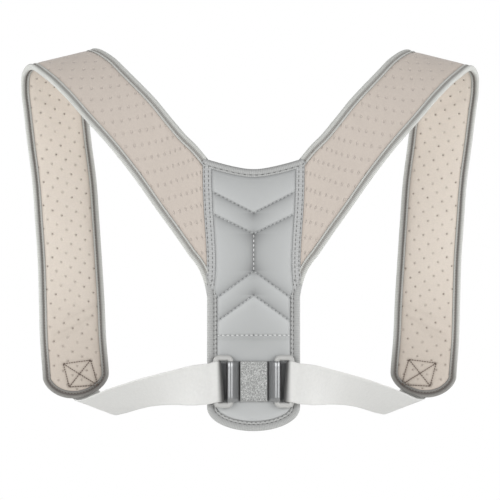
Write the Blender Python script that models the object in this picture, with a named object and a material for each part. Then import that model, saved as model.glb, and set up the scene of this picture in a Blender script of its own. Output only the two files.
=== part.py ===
"""Posture corrector: a padded back panel, two shoulder straps bound at their edges, two frame
buckles and two elastic side straps, in the form it has on a wearer.

Metres, +Z up. Seen from behind the wearer +X is to the right, and +Y is the way the wearer faces.
The origin lies between the shoulders, level with the underside of the two shoulder arches.
"""

import math

import bmesh
import bpy
import numpy as np

# Worn form
SHOULDER_SPAN = 0.409  # between the straps' middle lines where they are widest apart
BACK_DEPTH = 0.070  # from the origin back to the panel's middle plane
CHEST_DEPTH = 0.0575  # from the origin forward to the straps hanging on the chest
FRONT_LENGTH = 0.354  # from the top of the arches down to the straps' tips
NECK_DROP = 0.1175  # from the top of the arches down to the middle of the neckline

# Back panel
PANEL_WIDTH = 0.0906
PANEL_HEIGHT = 0.255
NECK_RISE = 0.0108  # the neckline's ends above its middle
NECK_POWER = 1.35
FOOT_ROUND = 0.0230  # height of the panel's rounded foot
SEAM_LENGTH = 0.135  # where a strap is sewn to the panel, neck to armpit
SEAM_BOW = 0.004  # how far that seam bows towards the spine
SEAM_FADE = 0.030  # the bow has died out this far along the strap
PANEL_OUTER = 0.0020  # the panel's faces from its middle plane
PANEL_INNER = 0.0039

# Shoulder straps
STRAP_WIDTH = 0.0675
STRAP_THICKNESS = 0.0060
STRAP_END = 0.024  # length of the rounded end
END_POWERS = (1.7, 1.25)  # how square the rounded end is, at its neck side and its arm side
ROLL = 0.0030  # from the pinched edge up to the padded face

# Binding round every edge
BINDING_WIDTH = 0.0080
BINDING_THICKNESS = 0.0070
BINDING_FABRIC = 0.0010
BINDING_FOLD = 0.0026  # solid depth of the rolled edge
EDGE_THICKNESS = 0.0029  # pads pinched inside the binding
TAPE_WIDTH = 0.0087
TAPE_THICKNESS = 0.0011

# Quilted facing
FACING_THICKNESS = 0.0012  # in the seams of the quilting
QUILT_LOFT = 0.0012  # how far a pillow stands above its seams

# Buckles and what holds them
BUCKLE_DROP = 0.206  # from the middle of the neckline to the middle of the buckles
BUCKLE_SPREAD = 0.0592  # between the middles of the two buckles
BUCKLE_WIDTH = 0.0193
BUCKLE_BAR = 0.0054
BUCKLE_CORNER = 0.0031  # of the bar's middle line
BUCKLE_STANDOFF = 0.0052  # the bars' middle off the face of the bindings
LOOP_FABRIC = 0.0009
PATCH_WIDTH = 0.0264
PATCH_THICKNESS = 0.0014
FLAP_GAP = 0.0012  # between the ends of the two loops under the patch

# Elastic straps
WEBBING_WIDTH = 0.0395
WEBBING_THICKNESS = 0.0016
WEBBING_SLACK = 0.0005  # room above and below it in a buckle
SEWN_LENGTH = 0.046  # laid on the shoulder strap's end
RETURN_LENGTH = 0.085  # folded back behind itself from the buckle
RETURN_CLOSING = 0.030  # over which that end closes in on the strap
TAB_LENGTH = 0.030
TAB_INSET = 0.0015
TAB_THICKNESS = 0.0012

CLEARANCE = 0.0003
SLOT_CLEARANCE = 0.0005  # between a pinched pad and the binding folded over it
FLATNESS = 0.00012  # how far a swept edge may cut a corner between two sections
LONGEST_STEP = 0.024
SAMPLE_STEP = 0.001  # along a curve, before its sections are chosen
CURVE_SAMPLES = 80  # round an end or across a strap, for the same

PANEL_FACING = np.array([0.0, -1.0, 0.0])  # the panel's outer face looks back
PANEL_HALF = PANEL_WIDTH / 2
NECK_CORNER = NECK_RISE - NECK_DROP
SEAM_MIDDLE = NECK_CORNER - SEAM_LENGTH / 2
PANEL_FOOT = -NECK_DROP - PANEL_HEIGHT
BUCKLE_LEVEL = -NECK_DROP - BUCKLE_DROP
PAD_EDGE = BINDING_FOLD + CLEARANCE  # a pad's edge from the outline
PAD_START = BINDING_WIDTH + CLEARANCE  # where it is free of the binding
PAD_PROFILE = ((PAD_EDGE, 0.0), (PAD_START, 0.0), (PAD_START + ROLL, 0.8))  # inset, share of loft
FACING_BASE = PANEL_OUTER + CLEARANCE
FACING_FACE = FACING_BASE + FACING_THICKNESS
STRAP_OVERLAY = BINDING_THICKNESS / 2 + CLEARANCE + WEBBING_THICKNESS / 2 + CLEARANCE

# The right strap's middle line over the back, from the panel's seam to the top of the arch.
# out: share of the way from the panel's edge to the widest middle line. deep: share of the way
# from the back to the chest. high: share of the seam's depth below the arch. flare: share of
# the seam's extra length over the strap's width. turn, lean: the way across, in degrees, turned
# down from straight out and leaned back towards the spine.
BACK_ROWS = (
    # out, deep, high, flare, turn, lean
    (0.000, 0.000, 1.000, 1.00, 90, 0),
    (0.067, 0.003, 0.881, 0.73, 89, 0.3),
    (0.162, 0.024, 0.766, 0.49, 85, 1),
    (0.270, 0.064, 0.636, 0.30, 78.5, 2.5),
    (0.385, 0.105, 0.495, 0.16, 72, 5),
    (0.501, 0.163, 0.369, 0.05, 64, 8),
    (0.619, 0.245, 0.252, 0.00, 55.5, 12),
    (0.743, 0.358, 0.130, -0.04, 40, 14.5),
    (0.853, 0.480, 0.048, -0.04, 27.5, 15),
    (0.933, 0.608, 0.014, 0.00, 15, 13.5),
)
# The same strap down the chest. low: share of the front length below the arch.
CHEST_ROWS = (
    # out, deep, low, flare, turn, lean
    (0.982, 0.722, 0.027, 0.00, 9, 12.5),
    (1.000, 0.827, 0.076, 0.00, 5, 13),
    (0.991, 0.906, 0.146, 0.00, 3, 13),
    (0.974, 0.957, 0.231, 0.00, 1.5, 12),
    (0.942, 0.984, 0.352, 0.00, 2, 11),
    (0.924, 0.996, 0.470, 0.00, 2, 10.5),
    (0.907, 1.000, 0.589, 0.00, 1.5, 9.5),
    (0.895, 1.000, 0.705, 0.02, 0, 9),
    (0.885, 1.000, 0.824, 0.03, 0, 9),
    (0.869, 1.000, 0.916, 0.03, 4, 9),
    (0.860, 1.000, 0.995, 0.03, 5, 9),
)
# The elastic strap's middle line from the shoulder strap's tip to the buckle: it rolls over
# once below the tip and turns upright. inward, back: shares of the way to the buckle's outer
# bar. sag: share of its width below the straight line. turn, lean: the way across, in degrees.
ELASTIC_ROWS = (
    # inward, back, sag, turn, lean
    (0.071, -0.025, 0.01, 8, 7),
    (0.105, -0.020, 0.29, 20, 6),
    (0.150, 0.030, 0.35, 24, 9),
    (0.228, 0.118, 0.31, 31, 16),
    (0.327, 0.228, 0.22, 42, 26),
    (0.418, 0.343, 0.15, 51, 32),
    (0.514, 0.462, 0.09, 60, 33),
    (0.633, 0.612, 0.05, 68, 29),
    (0.773, 0.810, 0.02, 78, 18),
    (0.890, 0.955, 0.00, 87, 2),
    (0.960, 1.000, 0.01, 90, 0),
)
# The quilting's stitched rows, as shares of the panel's height below the neckline's middle.
QUILT_ROWS = (
    # at the spine, at the sides
    (0.168, 0.086),
    (0.247, 0.169),
    (0.388, 0.490),
    (0.480, 0.580),
    (0.633, 0.633),
)
SPINE_BAND = 2  # the band between the chevrons, stitched down the spine
QUILT_STEPS = ((0.0, 0.0), (0.14, 0.72), (0.5, 1.0), (0.86, 0.72))  # share of a band, of loft
QUILT_COLUMNS = (0.0, 0.09, 0.30, 0.52, 0.74, 0.93, 1.0)  # share of the facing's half width
PLAIN_STEPS = (0.0, 0.2, 0.45, 0.7, 0.88)
NOSE_PROFILE = ((0.10, 0.66), (0.42, 1.0))  # binding: share of its width, of its half thickness
END_ANGLES = (18, 38, 60, 78, 102, 120, 142, 162, 180)  # round a strap's end, in degrees
LOOP_ANGLES = (-96, -65, -35, -5, 25, 55, 85, 110, 124)  # round a buckle's inner bar
PATCH_LEVELS = ((1.0, 0.0), (1.0, 0.55), (0.93, 1.0))  # share of its width, of its thickness
SEWN_SHARES = (1.0, 0.6, 0.25)  # webbing's rows above the tip, share of its sewn length
TAB_ROWS = 6


def unit(vectors):
    """The vectors brought to length one."""
    return vectors / np.linalg.norm(vectors, axis=-1, keepdims=True)


def smooth(knots, values, at):
    """A curve through rows of values: cubic pieces whose slopes come from the neighbours."""
    step = np.diff(knots)
    rate = np.diff(values, axis=0) / step[:, None]
    total = (step[:-1] + step[1:])[:, None]
    inner = (rate[:-1] * step[1:, None] + rate[1:] * step[:-1, None]) / total
    slope = np.concatenate([rate[:1], inner, rate[-1:]])
    at = np.clip(at, knots[0], knots[-1])
    i = np.clip(np.searchsorted(knots, at, side="right") - 1, 0, len(step) - 1)
    h = step[i][..., None]
    f = ((at - knots[i]) / step[i])[..., None]
    near = (1 + 2 * f) * (1 - f) ** 2 * values[i] + f * (1 - f) ** 2 * h * slope[i]
    far = f**2 * (3 - 2 * f) * values[i + 1] + f**2 * (f - 1) * h * slope[i + 1]
    return near + far


def lengths_along(points):
    """Running length at each point of a chain."""
    steps = np.linalg.norm(np.diff(points, axis=0), axis=1)
    return np.concatenate([[0.0], np.cumsum(steps)])


def way_across(turn, lean):
    """Unit direction from a strap's neck edge to its arm edge, from its angles in degrees."""
    turn, lean = np.radians(turn), np.radians(lean)
    level = np.cos(lean)
    return np.stack([np.cos(turn) * level, -np.sin(lean), -np.sin(turn) * level], axis=-1)


def strap_rows():
    """The right strap's rows in metres: middle line, width and the two angles across it."""
    reach = SHOULDER_SPAN / 2 - PANEL_HALF
    rows = []
    for table, drop in ((BACK_ROWS, SEAM_MIDDLE), (CHEST_ROWS, -FRONT_LENGTH)):
        for out, deep, down, flare, turn, lean in table:
            middle = (
                PANEL_HALF + out * reach,
                deep * (BACK_DEPTH + CHEST_DEPTH) - BACK_DEPTH,
                down * drop,
            )
            width = STRAP_WIDTH + flare * (SEAM_LENGTH - STRAP_WIDTH)
            rows.append((*middle, width, turn, lean))
    return np.array(rows)


STRAP_ROWS = strap_rows()
STRAP_KNOTS = lengths_along(STRAP_ROWS[:, :3])
STRAP_LENGTH = STRAP_KNOTS[-1]


def strap_point(run, share):
    """The right strap's middle surface: run along it from the seam, share across it."""
    run, share = np.broadcast_arrays(np.asarray(run, float), np.asarray(share, float))
    row = smooth(STRAP_KNOTS, STRAP_ROWS, run)
    across = way_across(row[..., 4], row[..., 5]) * row[..., 3:4]
    point = row[..., :3] + across * (share - 0.5)[..., None]
    fade = np.clip(1 - run / SEAM_FADE, 0, 1) ** 2
    inside = np.clip(share, 0, 1)
    bow = SEAM_BOW * fade * inside**3 * (1 - inside) * 256 / 27
    point[..., 0] -= bow
    return point


def strap_normal(run, share):
    """Unit normal of that surface, away from the wearer."""
    before = np.maximum(run - SAMPLE_STEP, 0)
    along = strap_point(run + SAMPLE_STEP, share) - strap_point(before, share)
    across = strap_point(run, share + 0.02) - strap_point(run, share - 0.02)
    at_seam = np.clip(1 - np.asarray(run, float) / ROLL, 0, 1)[..., None]
    return unit(unit(np.cross(across, along)) * (1 - at_seam) + PANEL_FACING * at_seam)


def neckline(x):
    """Height of the panel's neck edge at a distance from the spine."""
    return NECK_RISE * (np.abs(x) / PANEL_HALF) ** NECK_POWER - NECK_DROP


def strap_end(angles):
    """Run and share of the strap's rounded end, from the neck edge round to the arm edge."""
    share = 0.5 - 0.5 * np.cos(angles)
    power = END_POWERS[0] + (END_POWERS[1] - END_POWERS[0]) * share
    return STRAP_LENGTH - STRAP_END * (1 - np.sin(angles) ** power), share


def dense(length):
    """Even positions a millimetre or so apart over a length, without its last point."""
    return np.linspace(0, length, max(int(length / SAMPLE_STEP), 4), endpoint=False)


def half_outline():
    """The right half of the whole outline, from the neckline's middle round to the foot.

    Gives its points, their outward normals and the index where each of its pieces starts."""
    straight = STRAP_LENGTH - STRAP_END
    neck_x = dense(PANEL_HALF)
    turn = np.linspace(0, math.pi, CURVE_SAMPLES, endpoint=False)[1:]
    end_run, end_share = strap_end(turn)
    run = np.concatenate([dense(straight), [straight], end_run, [straight], dense(straight)[:0:-1]])
    runs = len(dense(straight)) + 1
    share = np.concatenate([np.zeros(runs), end_share, np.ones(runs - 1)])
    seam_foot = strap_point(0.0, 1.0)[2]
    side = dense(seam_foot - PANEL_FOOT - FOOT_ROUND)
    round_foot = np.linspace(0, math.pi / 2, CURVE_SAMPLES)
    panel = [
        np.stack([neck_x, neck_x * 0 - BACK_DEPTH, neckline(neck_x)], axis=1),
        np.stack([side * 0 + PANEL_HALF, side * 0 - BACK_DEPTH, seam_foot - side], axis=1),
        np.stack(
            [
                PANEL_HALF * np.cos(round_foot),
                round_foot * 0 - BACK_DEPTH,
                PANEL_FOOT + FOOT_ROUND * (1 - np.sin(round_foot)),
            ],
            axis=1,
        ),
    ]
    strap = strap_point(run, share)
    normals = [np.tile(PANEL_FACING, (len(neck_x), 1)), strap_normal(run, share)]
    normals.append(np.tile(PANEL_FACING, (len(side) + len(round_foot), 1)))
    points = np.concatenate([panel[0], strap, panel[1], panel[2]])
    starts = (0, len(neck_x), len(neck_x) + len(strap), len(points))
    return points, np.concatenate(normals), starts


def mirrored(points):
    """The same points on the other side of the spine."""
    return points * np.array([-1.0, 1.0, 1.0])


def kept_along(chains):
    """Indices that chains side by side need so that their straight steps stay close to them."""
    chains = np.asarray(chains)
    along = unit(np.gradient(chains, axis=1))
    last = chains.shape[1] - 1
    kept = [0]
    for i in range(2, last):
        step = np.linalg.norm(chains[:, i] - chains[:, kept[-1]], axis=1)
        bend = np.arccos(np.minimum(np.sum(along[:, i] * along[:, kept[-1]], axis=1), 1.0))
        if (step * bend / 8).max() > FLATNESS or step.max() > LONGEST_STEP:
            kept.append(i)
    return np.array(kept + [last])


class Outline:
    """The object's one edge, a closed chain that every binding follows."""

    def __init__(self):
        points, normals, starts = half_outline()
        self.half = len(points)
        self.strap_start, self.strap_stop = starts[1], starts[2]
        self.points = np.concatenate([points, mirrored(points[-2:0:-1])])
        normals = np.concatenate([normals, mirrored(normals[-2:0:-1])])
        along = np.roll(self.points, -2, axis=0) - np.roll(self.points, 2, axis=0)
        self.along = unit(along)
        flat = normals - self.along * np.sum(normals * self.along, axis=1, keepdims=True)
        self.normals = unit(flat)
        self.inward = unit(np.cross(self.along, self.normals))

    def stations(self, first, last):
        """Indices kept from first to last: closer together where the edge turns faster."""
        whole = len(self.points)
        order = np.arange(first, last + 1) % whole
        return first + kept_along([self.points[order]])

    def sweep(self, profile, indices):
        """The profile's (inward, outward) points set at each station, trimmed at both ends."""
        i = indices % len(self.points)
        at = self.points[i].copy()
        at[0] += self.along[i[0]] * CLEARANCE / 2
        at[-1] -= self.along[i[-1]] * CLEARANCE / 2
        inward = profile[None, :, 0:1] * self.inward[i][:, None]
        outward = profile[None, :, 1:2] * self.normals[i][:, None]
        return at[:, None] + inward + outward


OUTLINE = Outline()


def add_object(name, points, faces, colour, roughness, smooth_angle=40):
    """A closed mesh as an object with its own material."""
    mesh = bpy.data.meshes.new(name)
    mesh.from_pydata([tuple(p) for p in points], [], [tuple(int(i) for i in f) for f in faces])
    shape = bmesh.new()
    shape.from_mesh(mesh)
    bmesh.ops.remove_doubles(shape, verts=shape.verts, dist=1e-6)
    bmesh.ops.recalc_face_normals(shape, faces=shape.faces)
    if shape.calc_volume(signed=True) < 0:
        bmesh.ops.reverse_faces(shape, faces=shape.faces)
    shape.to_mesh(mesh)
    shape.free()
    mesh.shade_smooth()
    mesh.set_sharp_from_angle(angle=math.radians(smooth_angle))
    material = bpy.data.materials.new(name)
    material.use_nodes = True
    shader = material.node_tree.nodes["Principled BSDF"]
    shader.inputs["Base Color"].default_value = (*colour, 1.0)
    shader.inputs["Roughness"].default_value = roughness
    shader.inputs["Metallic"].default_value = 0.0
    mesh.materials.append(material)
    obj = bpy.data.objects.new(name, mesh)
    bpy.context.scene.collection.objects.link(obj)
    return obj


def loft(sections, closed=False):
    """Points and faces through sections of equal size, with end faces unless it closes."""
    count, size = sections.shape[:2]
    faces = []
    for i in range(count if closed else count - 1):
        a, b = i * size, (i + 1) % count * size
        for j in range(size):
            k = (j + 1) % size
            faces.append((a + j, a + k, b + k, b + j))
    if not closed:
        faces.append(range(size))
        faces.append(range((count - 1) * size, count * size))
    return sections.reshape(-1, 3), faces


def both_sides(name, points, faces, colour, roughness):
    """The piece on the right, and its mirror image on the left."""
    add_object(f"{name}_right", points, faces, colour, roughness)
    add_object(f"{name}_left", mirrored(points), faces, colour, roughness)


def binding_profile():
    """Folded edge binding across: a round nose and two lips with the pad's slot between."""
    half = BINDING_THICKNESS / 2
    slot = EDGE_THICKNESS / 2 + SLOT_CLEARANCE
    lip = slot + BINDING_FABRIC
    upper = [(share * BINDING_WIDTH, rise * half) for share, rise in NOSE_PROFILE]
    upper.append((BINDING_WIDTH, lip))
    lower = [(inward, -rise) for inward, rise in reversed(upper)]
    floor = [(BINDING_FOLD, slot), (BINDING_FOLD, -slot)]
    channel = [(BINDING_WIDTH, slot), *floor, (BINDING_WIDTH, -slot)]
    return np.array([(0.0, 0.0), *upper, *channel, *lower])


def make_bindings():
    """Neckline, panel and strap bindings, all swept along the one outline."""
    grey = (0.47, 0.49, 0.48)
    profile = binding_profile()
    start, stop, half = OUTLINE.strap_start, OUTLINE.strap_stop, OUTLINE.half
    whole = len(OUTLINE.points)
    neck = OUTLINE.stations(whole - start, whole + start)
    add_object("neckline_binding", *loft(OUTLINE.sweep(profile, neck)), grey, 0.75)
    panel = OUTLINE.stations(stop, 2 * half - 2 - stop)
    add_object("panel_binding", *loft(OUTLINE.sweep(profile, panel)), grey, 0.75)
    strap = OUTLINE.stations(start, stop)
    both_sides("strap_binding", *loft(OUTLINE.sweep(profile, strap)), grey, 0.75)


def share_at(run, arm_side, distance):
    """Where across the strap a row lies this far from the outline, from one of its edges."""
    shares = np.linspace(1.0 if arm_side else 0.0, 0.5, CURVE_SAMPLES)
    points = strap_point(run, shares)
    edge = OUTLINE.points[: OUTLINE.half]
    near = np.linalg.norm(points[:, None] - edge[None], axis=2).min(axis=1)
    return float(np.interp(distance, np.maximum.accumulate(near), shares))


def section_shares(run):
    """Where a strap section's points lie across it: edge, foot and top of the roll, middle."""
    neck = [share_at(run, False, inset) for inset, _ in PAD_PROFILE]
    arm = [share_at(run, True, inset) for inset, _ in reversed(PAD_PROFILE)]
    return np.array([*neck, 0.5, *arm])


def strap_section(run, rise):
    """Across the strap: upper points from neck to arm and lower points back."""
    pinch = EDGE_THICKNESS / 2
    full = STRAP_THICKNESS / 2
    lofts = [share_of_loft for _, share_of_loft in PAD_PROFILE]
    lofts = np.array(lofts + [1.0] + lofts[::-1]) * rise
    half = pinch + (full - pinch) * lofts
    shares = section_shares(run)
    middle, normal = strap_point(run, shares), strap_normal(run, shares)
    upper = middle + normal * half[:, None]
    lower = middle - normal * half[:, None]
    return np.concatenate([upper, lower[::-1]])


def strap_body_runs():
    """Where the strap's sections lie: close together over the seam and the arch."""
    tape = TAPE_WIDTH / 2 + CLEARANCE
    runs = np.arange(tape + ROLL, STRAP_LENGTH - STRAP_END, SAMPLE_STEP)
    chains = [strap_point(runs, share) for share in (0.0, 0.5, 1.0)]
    return [CLEARANCE / 2, tape, *runs[kept_along(chains)]]


def make_shoulder_straps():
    """Padded straps: a crowned face each side, pinched in the binding and at the panel's seam."""
    runs = strap_body_runs()
    rises = [0.0, 0.0] + [1.0] * (len(runs) - 2)
    sections = np.array([strap_section(run, rise) for run, rise in zip(runs, rises)])
    count, size = sections.shape[:2]
    half = size // 2
    points, faces = loft(sections)
    faces = faces[:-1]
    points = list(points)
    last = (count - 1) * size
    ring_above = [last + j for j in range(3)]
    ring_below = [last + size - 1 - j for j in range(3)]
    hub_above, hub_below = last + 3, last + half + 3
    pinch, full = EDGE_THICKNESS / 2, STRAP_THICKNESS / 2
    for angle in END_ANGLES:
        if angle < END_ANGLES[-1]:
            next_above, next_below = [], []
            edge = strap_point(*strap_end(math.radians(angle)))
            i = np.linalg.norm(OUTLINE.points - edge, axis=1).argmin()
            for inset, share_of_loft in PAD_PROFILE:
                thick = pinch + (full - pinch) * share_of_loft
                at = OUTLINE.points[i] + OUTLINE.inward[i] * inset
                next_above.append(len(points))
                points.append(at + OUTLINE.normals[i] * thick)
                next_below.append(len(points))
                points.append(at - OUTLINE.normals[i] * thick)
        else:
            next_above = [last + half - 1 - j for j in range(3)]
            next_below = [last + half + j for j in range(3)]
        for a, b in ((ring_above, next_above), (ring_below, next_below)):
            faces += [(a[0], a[1], b[1], b[0]), (a[1], a[2], b[2], b[1])]
        faces.append((ring_above[0], next_above[0], next_below[0], ring_below[0]))
        faces.append((ring_above[2], hub_above, next_above[2]))
        faces.append((ring_below[2], hub_below, next_below[2]))
        ring_above, ring_below = next_above, next_below
    both_sides("shoulder_strap", np.array(points), faces, (0.57, 0.51, 0.44), 0.9)


def seam_line():
    """The right seam between panel and strap, from neck edge to armpit."""
    return strap_point(0.0, section_shares(CLEARANCE / 2))


def inset_outline(inset, first, last):
    """The outline between two indices, moved inwards."""
    i = OUTLINE.stations(first, last) % len(OUTLINE.points)
    return OUTLINE.points[i] + OUTLINE.inward[i] * inset


def panel_polygon():
    """The back panel's edge inside its bindings, clockwise from the left end of the neckline."""
    seam = seam_line() - np.array([CLEARANCE / 2, 0, 0])
    seam = np.concatenate([seam[:1], seam[len(PAD_PROFILE) :]])
    whole, half = len(OUTLINE.points), OUTLINE.half
    neck = inset_outline(PAD_EDGE, whole - OUTLINE.strap_start, whole + OUTLINE.strap_start)
    neck = neck[np.abs(neck[:, 0]) < seam[0, 0] - BINDING_WIDTH]
    lower = inset_outline(PAD_EDGE, OUTLINE.strap_stop, 2 * half - 2 - OUTLINE.strap_stop)
    lower = lower[lower[:, 2] < seam[-1, 2] - ROLL]
    return np.concatenate([neck, seam, lower, mirrored(seam[::-1])])


def shrunk(polygon, inset):
    """A flat polygon with every side moved inwards."""
    before, after = np.roll(polygon, 1, axis=0), np.roll(polygon, -1, axis=0)
    into_a = unit(np.cross(unit(polygon - before), PANEL_FACING))
    into_b = unit(np.cross(unit(after - polygon), PANEL_FACING))
    mean = unit(into_a + into_b)
    return polygon + mean * (inset / np.sum(mean * into_a, axis=1, keepdims=True))


def make_back_panel():
    """Padded panel: flat on both faces, pinched where the bindings and seams hold it."""
    edge = panel_polygon()
    in_binding = PAD_START - PAD_EDGE
    rings = [shrunk(edge, inset) for inset in (0.0, in_binding, in_binding + ROLL * 0.6)]
    pinch = EDGE_THICKNESS / 2
    count = len(edge)
    layers = [
        rings[2] + (0, -PANEL_OUTER, 0),
        rings[1] + (0, -pinch, 0),
        rings[0] + (0, -pinch, 0),
        rings[0] + (0, pinch, 0),
        rings[1] + (0, pinch, 0),
        rings[2] + (0, PANEL_INNER, 0),
    ]
    points = np.concatenate(layers)
    faces = [range(count), range(5 * count, 6 * count)]
    for layer in range(5):
        a, b = layer * count, (layer + 1) * count
        faces += [(a + j, a + (j + 1) % count, b + (j + 1) % count, b + j) for j in range(count)]
    add_object("back_panel", points, faces, (0.42, 0.43, 0.43), 0.85)


def make_seam_tapes():
    """Flat tapes over the seams between panel and straps, on the outer face."""
    top, foot = share_at(0.0, False, PAD_START), share_at(0.0, True, PAD_START)
    half, lift = TAPE_WIDTH / 2, EDGE_THICKNESS / 2 + CLEARANCE
    sections = []
    for share in np.linspace(top + 0.02, foot - 0.03, 9):
        seam, outer = strap_point(0.0, share), strap_point(half, share)
        places = (
            (seam - (half, 0, 0), PANEL_FACING),
            (seam, PANEL_FACING),
            (outer, strap_normal(half, share)),
        )
        under = [point + normal * lift for point, normal in places]
        over = [point + normal * (lift + TAPE_THICKNESS) for point, normal in places]
        sections.append(under + over[::-1])
    both_sides("seam_tape", *loft(np.array(sections)), (0.50, 0.52, 0.51), 0.7)


def facing_limits():
    """The facing's half width by height, and its top and foot edges by distance from the spine."""
    moved = OUTLINE.points + OUTLINE.inward * PAD_START
    past_seam = OUTLINE.strap_start + round(SEAM_FADE / SAMPLE_STEP)
    upper, lower = moved[:past_seam], moved[OUTLINE.strap_stop : OUTLINE.half]
    return upper[:, [0, 2]], lower[:, [0, 2]]


def facing_half_width(height):
    """From the spine to the tape beside the seam, or to the binding below it."""
    seam = strap_point(0.0, np.linspace(0, 1, CURVE_SAMPLES))
    tape = np.interp(-height, -seam[:, 2], seam[:, 0]) - TAPE_WIDTH / 2 - CLEARANCE
    return np.minimum(tape, PANEL_HALF - PAD_START)


def make_quilted_facing():
    """Quilted facing: pillows between stitched chevrons, a stitched spine, and a plain foot."""
    upper, lower = facing_limits()
    columns = np.array([-c for c in QUILT_COLUMNS[:0:-1]] + list(QUILT_COLUMNS))
    aside = np.abs(columns)

    def placed(heights):
        """Points of one row from its heights, with its ends on the facing's sides."""
        x = columns * facing_half_width(heights)
        return x, heights

    top = np.full(len(columns), -NECK_DROP)
    for _ in range(4):
        x, _ = placed(top)
        top = np.interp(np.abs(x), upper[:, 0], upper[:, 1])
    stitched = [top]
    for spine, side in QUILT_ROWS:
        stitched.append(-NECK_DROP - PANEL_HEIGHT * (spine + (side - spine) * aside))
    foot_x = facing_half_width(PANEL_FOOT) * np.sin(aside * math.pi / 2)
    order = np.argsort(lower[:, 0])
    foot = np.interp(foot_x, lower[order, 0], lower[order, 1])
    rows = []
    for band, (above, below) in enumerate(zip(stitched, stitched[1:])):
        for share, rise in QUILT_STEPS:
            loft_here = np.where(aside > 0.99, 0.0, np.where(aside > 0.9, 0.7, 1.0)) * rise
            if band == SPINE_BAND:
                loft_here = loft_here * np.where(aside < 0.01, 0.0, np.where(aside < 0.1, 0.6, 1.0))
            rows.append((*placed(above + (below - above) * share), loft_here))
    level = stitched[-1]
    flat = np.zeros(len(columns))
    for share in PLAIN_STEPS:
        x, height = placed(level + (foot - level) * share)
        blend = share**2
        rows.append((x * (1 - blend) + np.sign(x) * foot_x * blend, height, flat))
    rows.append((np.sign(columns) * foot_x, foot, flat))
    face, back = [], []
    for x, height, rise in rows:
        outward = FACING_FACE + QUILT_LOFT * rise
        face.append(np.stack([x, -BACK_DEPTH - outward, height], axis=1))
        back.append(np.stack([x, x * 0 - BACK_DEPTH - FACING_BASE, height], axis=1))
    count, size = len(rows), len(columns)
    points = np.concatenate([np.concatenate(face), np.concatenate(back)])
    shift = count * size
    faces = []
    for i in range(count - 1):
        for j in range(size - 1):
            a = i * size + j
            faces.append((a, a + 1, a + size + 1, a + size))
            faces.append((a + shift, a + size + shift, a + size + 1 + shift, a + 1 + shift))
    rim = list(range(size))
    rim += [i * size + size - 1 for i in range(1, count)]
    rim += [(count - 1) * size + j for j in range(size - 2, -1, -1)]
    rim += [i * size for i in range(count - 2, 0, -1)]
    for a, b in zip(rim, rim[1:] + rim[:1]):
        faces.append((a, a + shift, b + shift, b))
    add_object("quilted_facing", points, faces, (0.47, 0.49, 0.49), 0.5)


def buckle_middle():
    """Middle of the right buckle, clear of the strap that folds round its outer bar."""
    return np.array(
        [
            BUCKLE_SPREAD / 2,
            -BACK_DEPTH - BINDING_THICKNESS / 2 - BUCKLE_STANDOFF,
            BUCKLE_LEVEL,
        ]
    )


def buckle_bar(side):
    """Middle of a buckle's upright bar: side +1 is the outer one, -1 the inner."""
    return buckle_middle() + (side * (BUCKLE_WIDTH - BUCKLE_BAR) / 2, 0, 0)


def make_buckles():
    """Rectangular frame buckles of round bar with rounded corners."""
    half_w = (BUCKLE_WIDTH - BUCKLE_BAR) / 2
    half_h = WEBBING_WIDTH / 2 + WEBBING_SLACK + BUCKLE_BAR / 2
    corners = ((1, 1, 0), (-1, 1, 90), (-1, -1, 180), (1, -1, 270))
    path = []
    for sx, sz, first in corners:
        hub = (sx * (half_w - BUCKLE_CORNER), sz * (half_h - BUCKLE_CORNER))
        for angle in np.radians(np.linspace(first, first + 90, 5)):
            out = np.array([math.cos(angle), 0.0, math.sin(angle)])
            path.append((np.array([hub[0], 0.0, hub[1]]) + out * BUCKLE_CORNER, out))
    sections = []
    for at, out in path:
        ring = []
        for angle in np.radians(np.arange(0, 360, 45)):
            side = out * math.cos(angle) + np.array([0.0, math.sin(angle), 0.0])
            ring.append(buckle_middle() + at + side * BUCKLE_BAR / 2)
        sections.append(ring)
    both_sides("ring", *loft(np.array(sections), closed=True), (0.48, 0.48, 0.47), 0.35)


def strip(edges, thickness):
    """A flat strip through pairs of edge points, thickened evenly to both sides."""
    edges = np.asarray(edges)
    middle = edges.mean(axis=1)
    along = np.gradient(middle, axis=0)
    normal = unit(np.cross(edges[:, 1] - edges[:, 0], along))[:, None]
    over, under = edges + normal * thickness / 2, edges - normal * thickness / 2
    sections = np.concatenate([over, under[:, ::-1]], axis=1)
    return loft(sections)


def make_ring_loops():
    """Bands sewn under the patch that hold each buckle by its inner bar."""
    bar = buckle_bar(-1)
    radius = BUCKLE_BAR / 2 + CLEARANCE + LOOP_FABRIC / 2
    face = -BACK_DEPTH - FACING_FACE - CLEARANCE - LOOP_FABRIC / 2
    lower, upper = face, face - LOOP_FABRIC - CLEARANCE
    edge_of_patch = PATCH_WIDTH / 2
    tail = [FLAP_GAP / 2, edge_of_patch * 0.5, edge_of_patch + CLEARANCE]
    path = [(x, lower) for x in tail]
    for angle in np.radians(LOOP_ANGLES):
        path.append((bar[0] + radius * math.cos(angle), bar[1] - radius * math.sin(angle)))
    path += [(x, upper) for x in reversed(tail)]
    half = WEBBING_WIDTH / 2
    edges = [((x, y, BUCKLE_LEVEL + half), (x, y, BUCKLE_LEVEL - half)) for x, y in path]
    both_sides("ring_loop", *strip(edges, LOOP_FABRIC), (0.10, 0.11, 0.11), 0.25)


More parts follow.
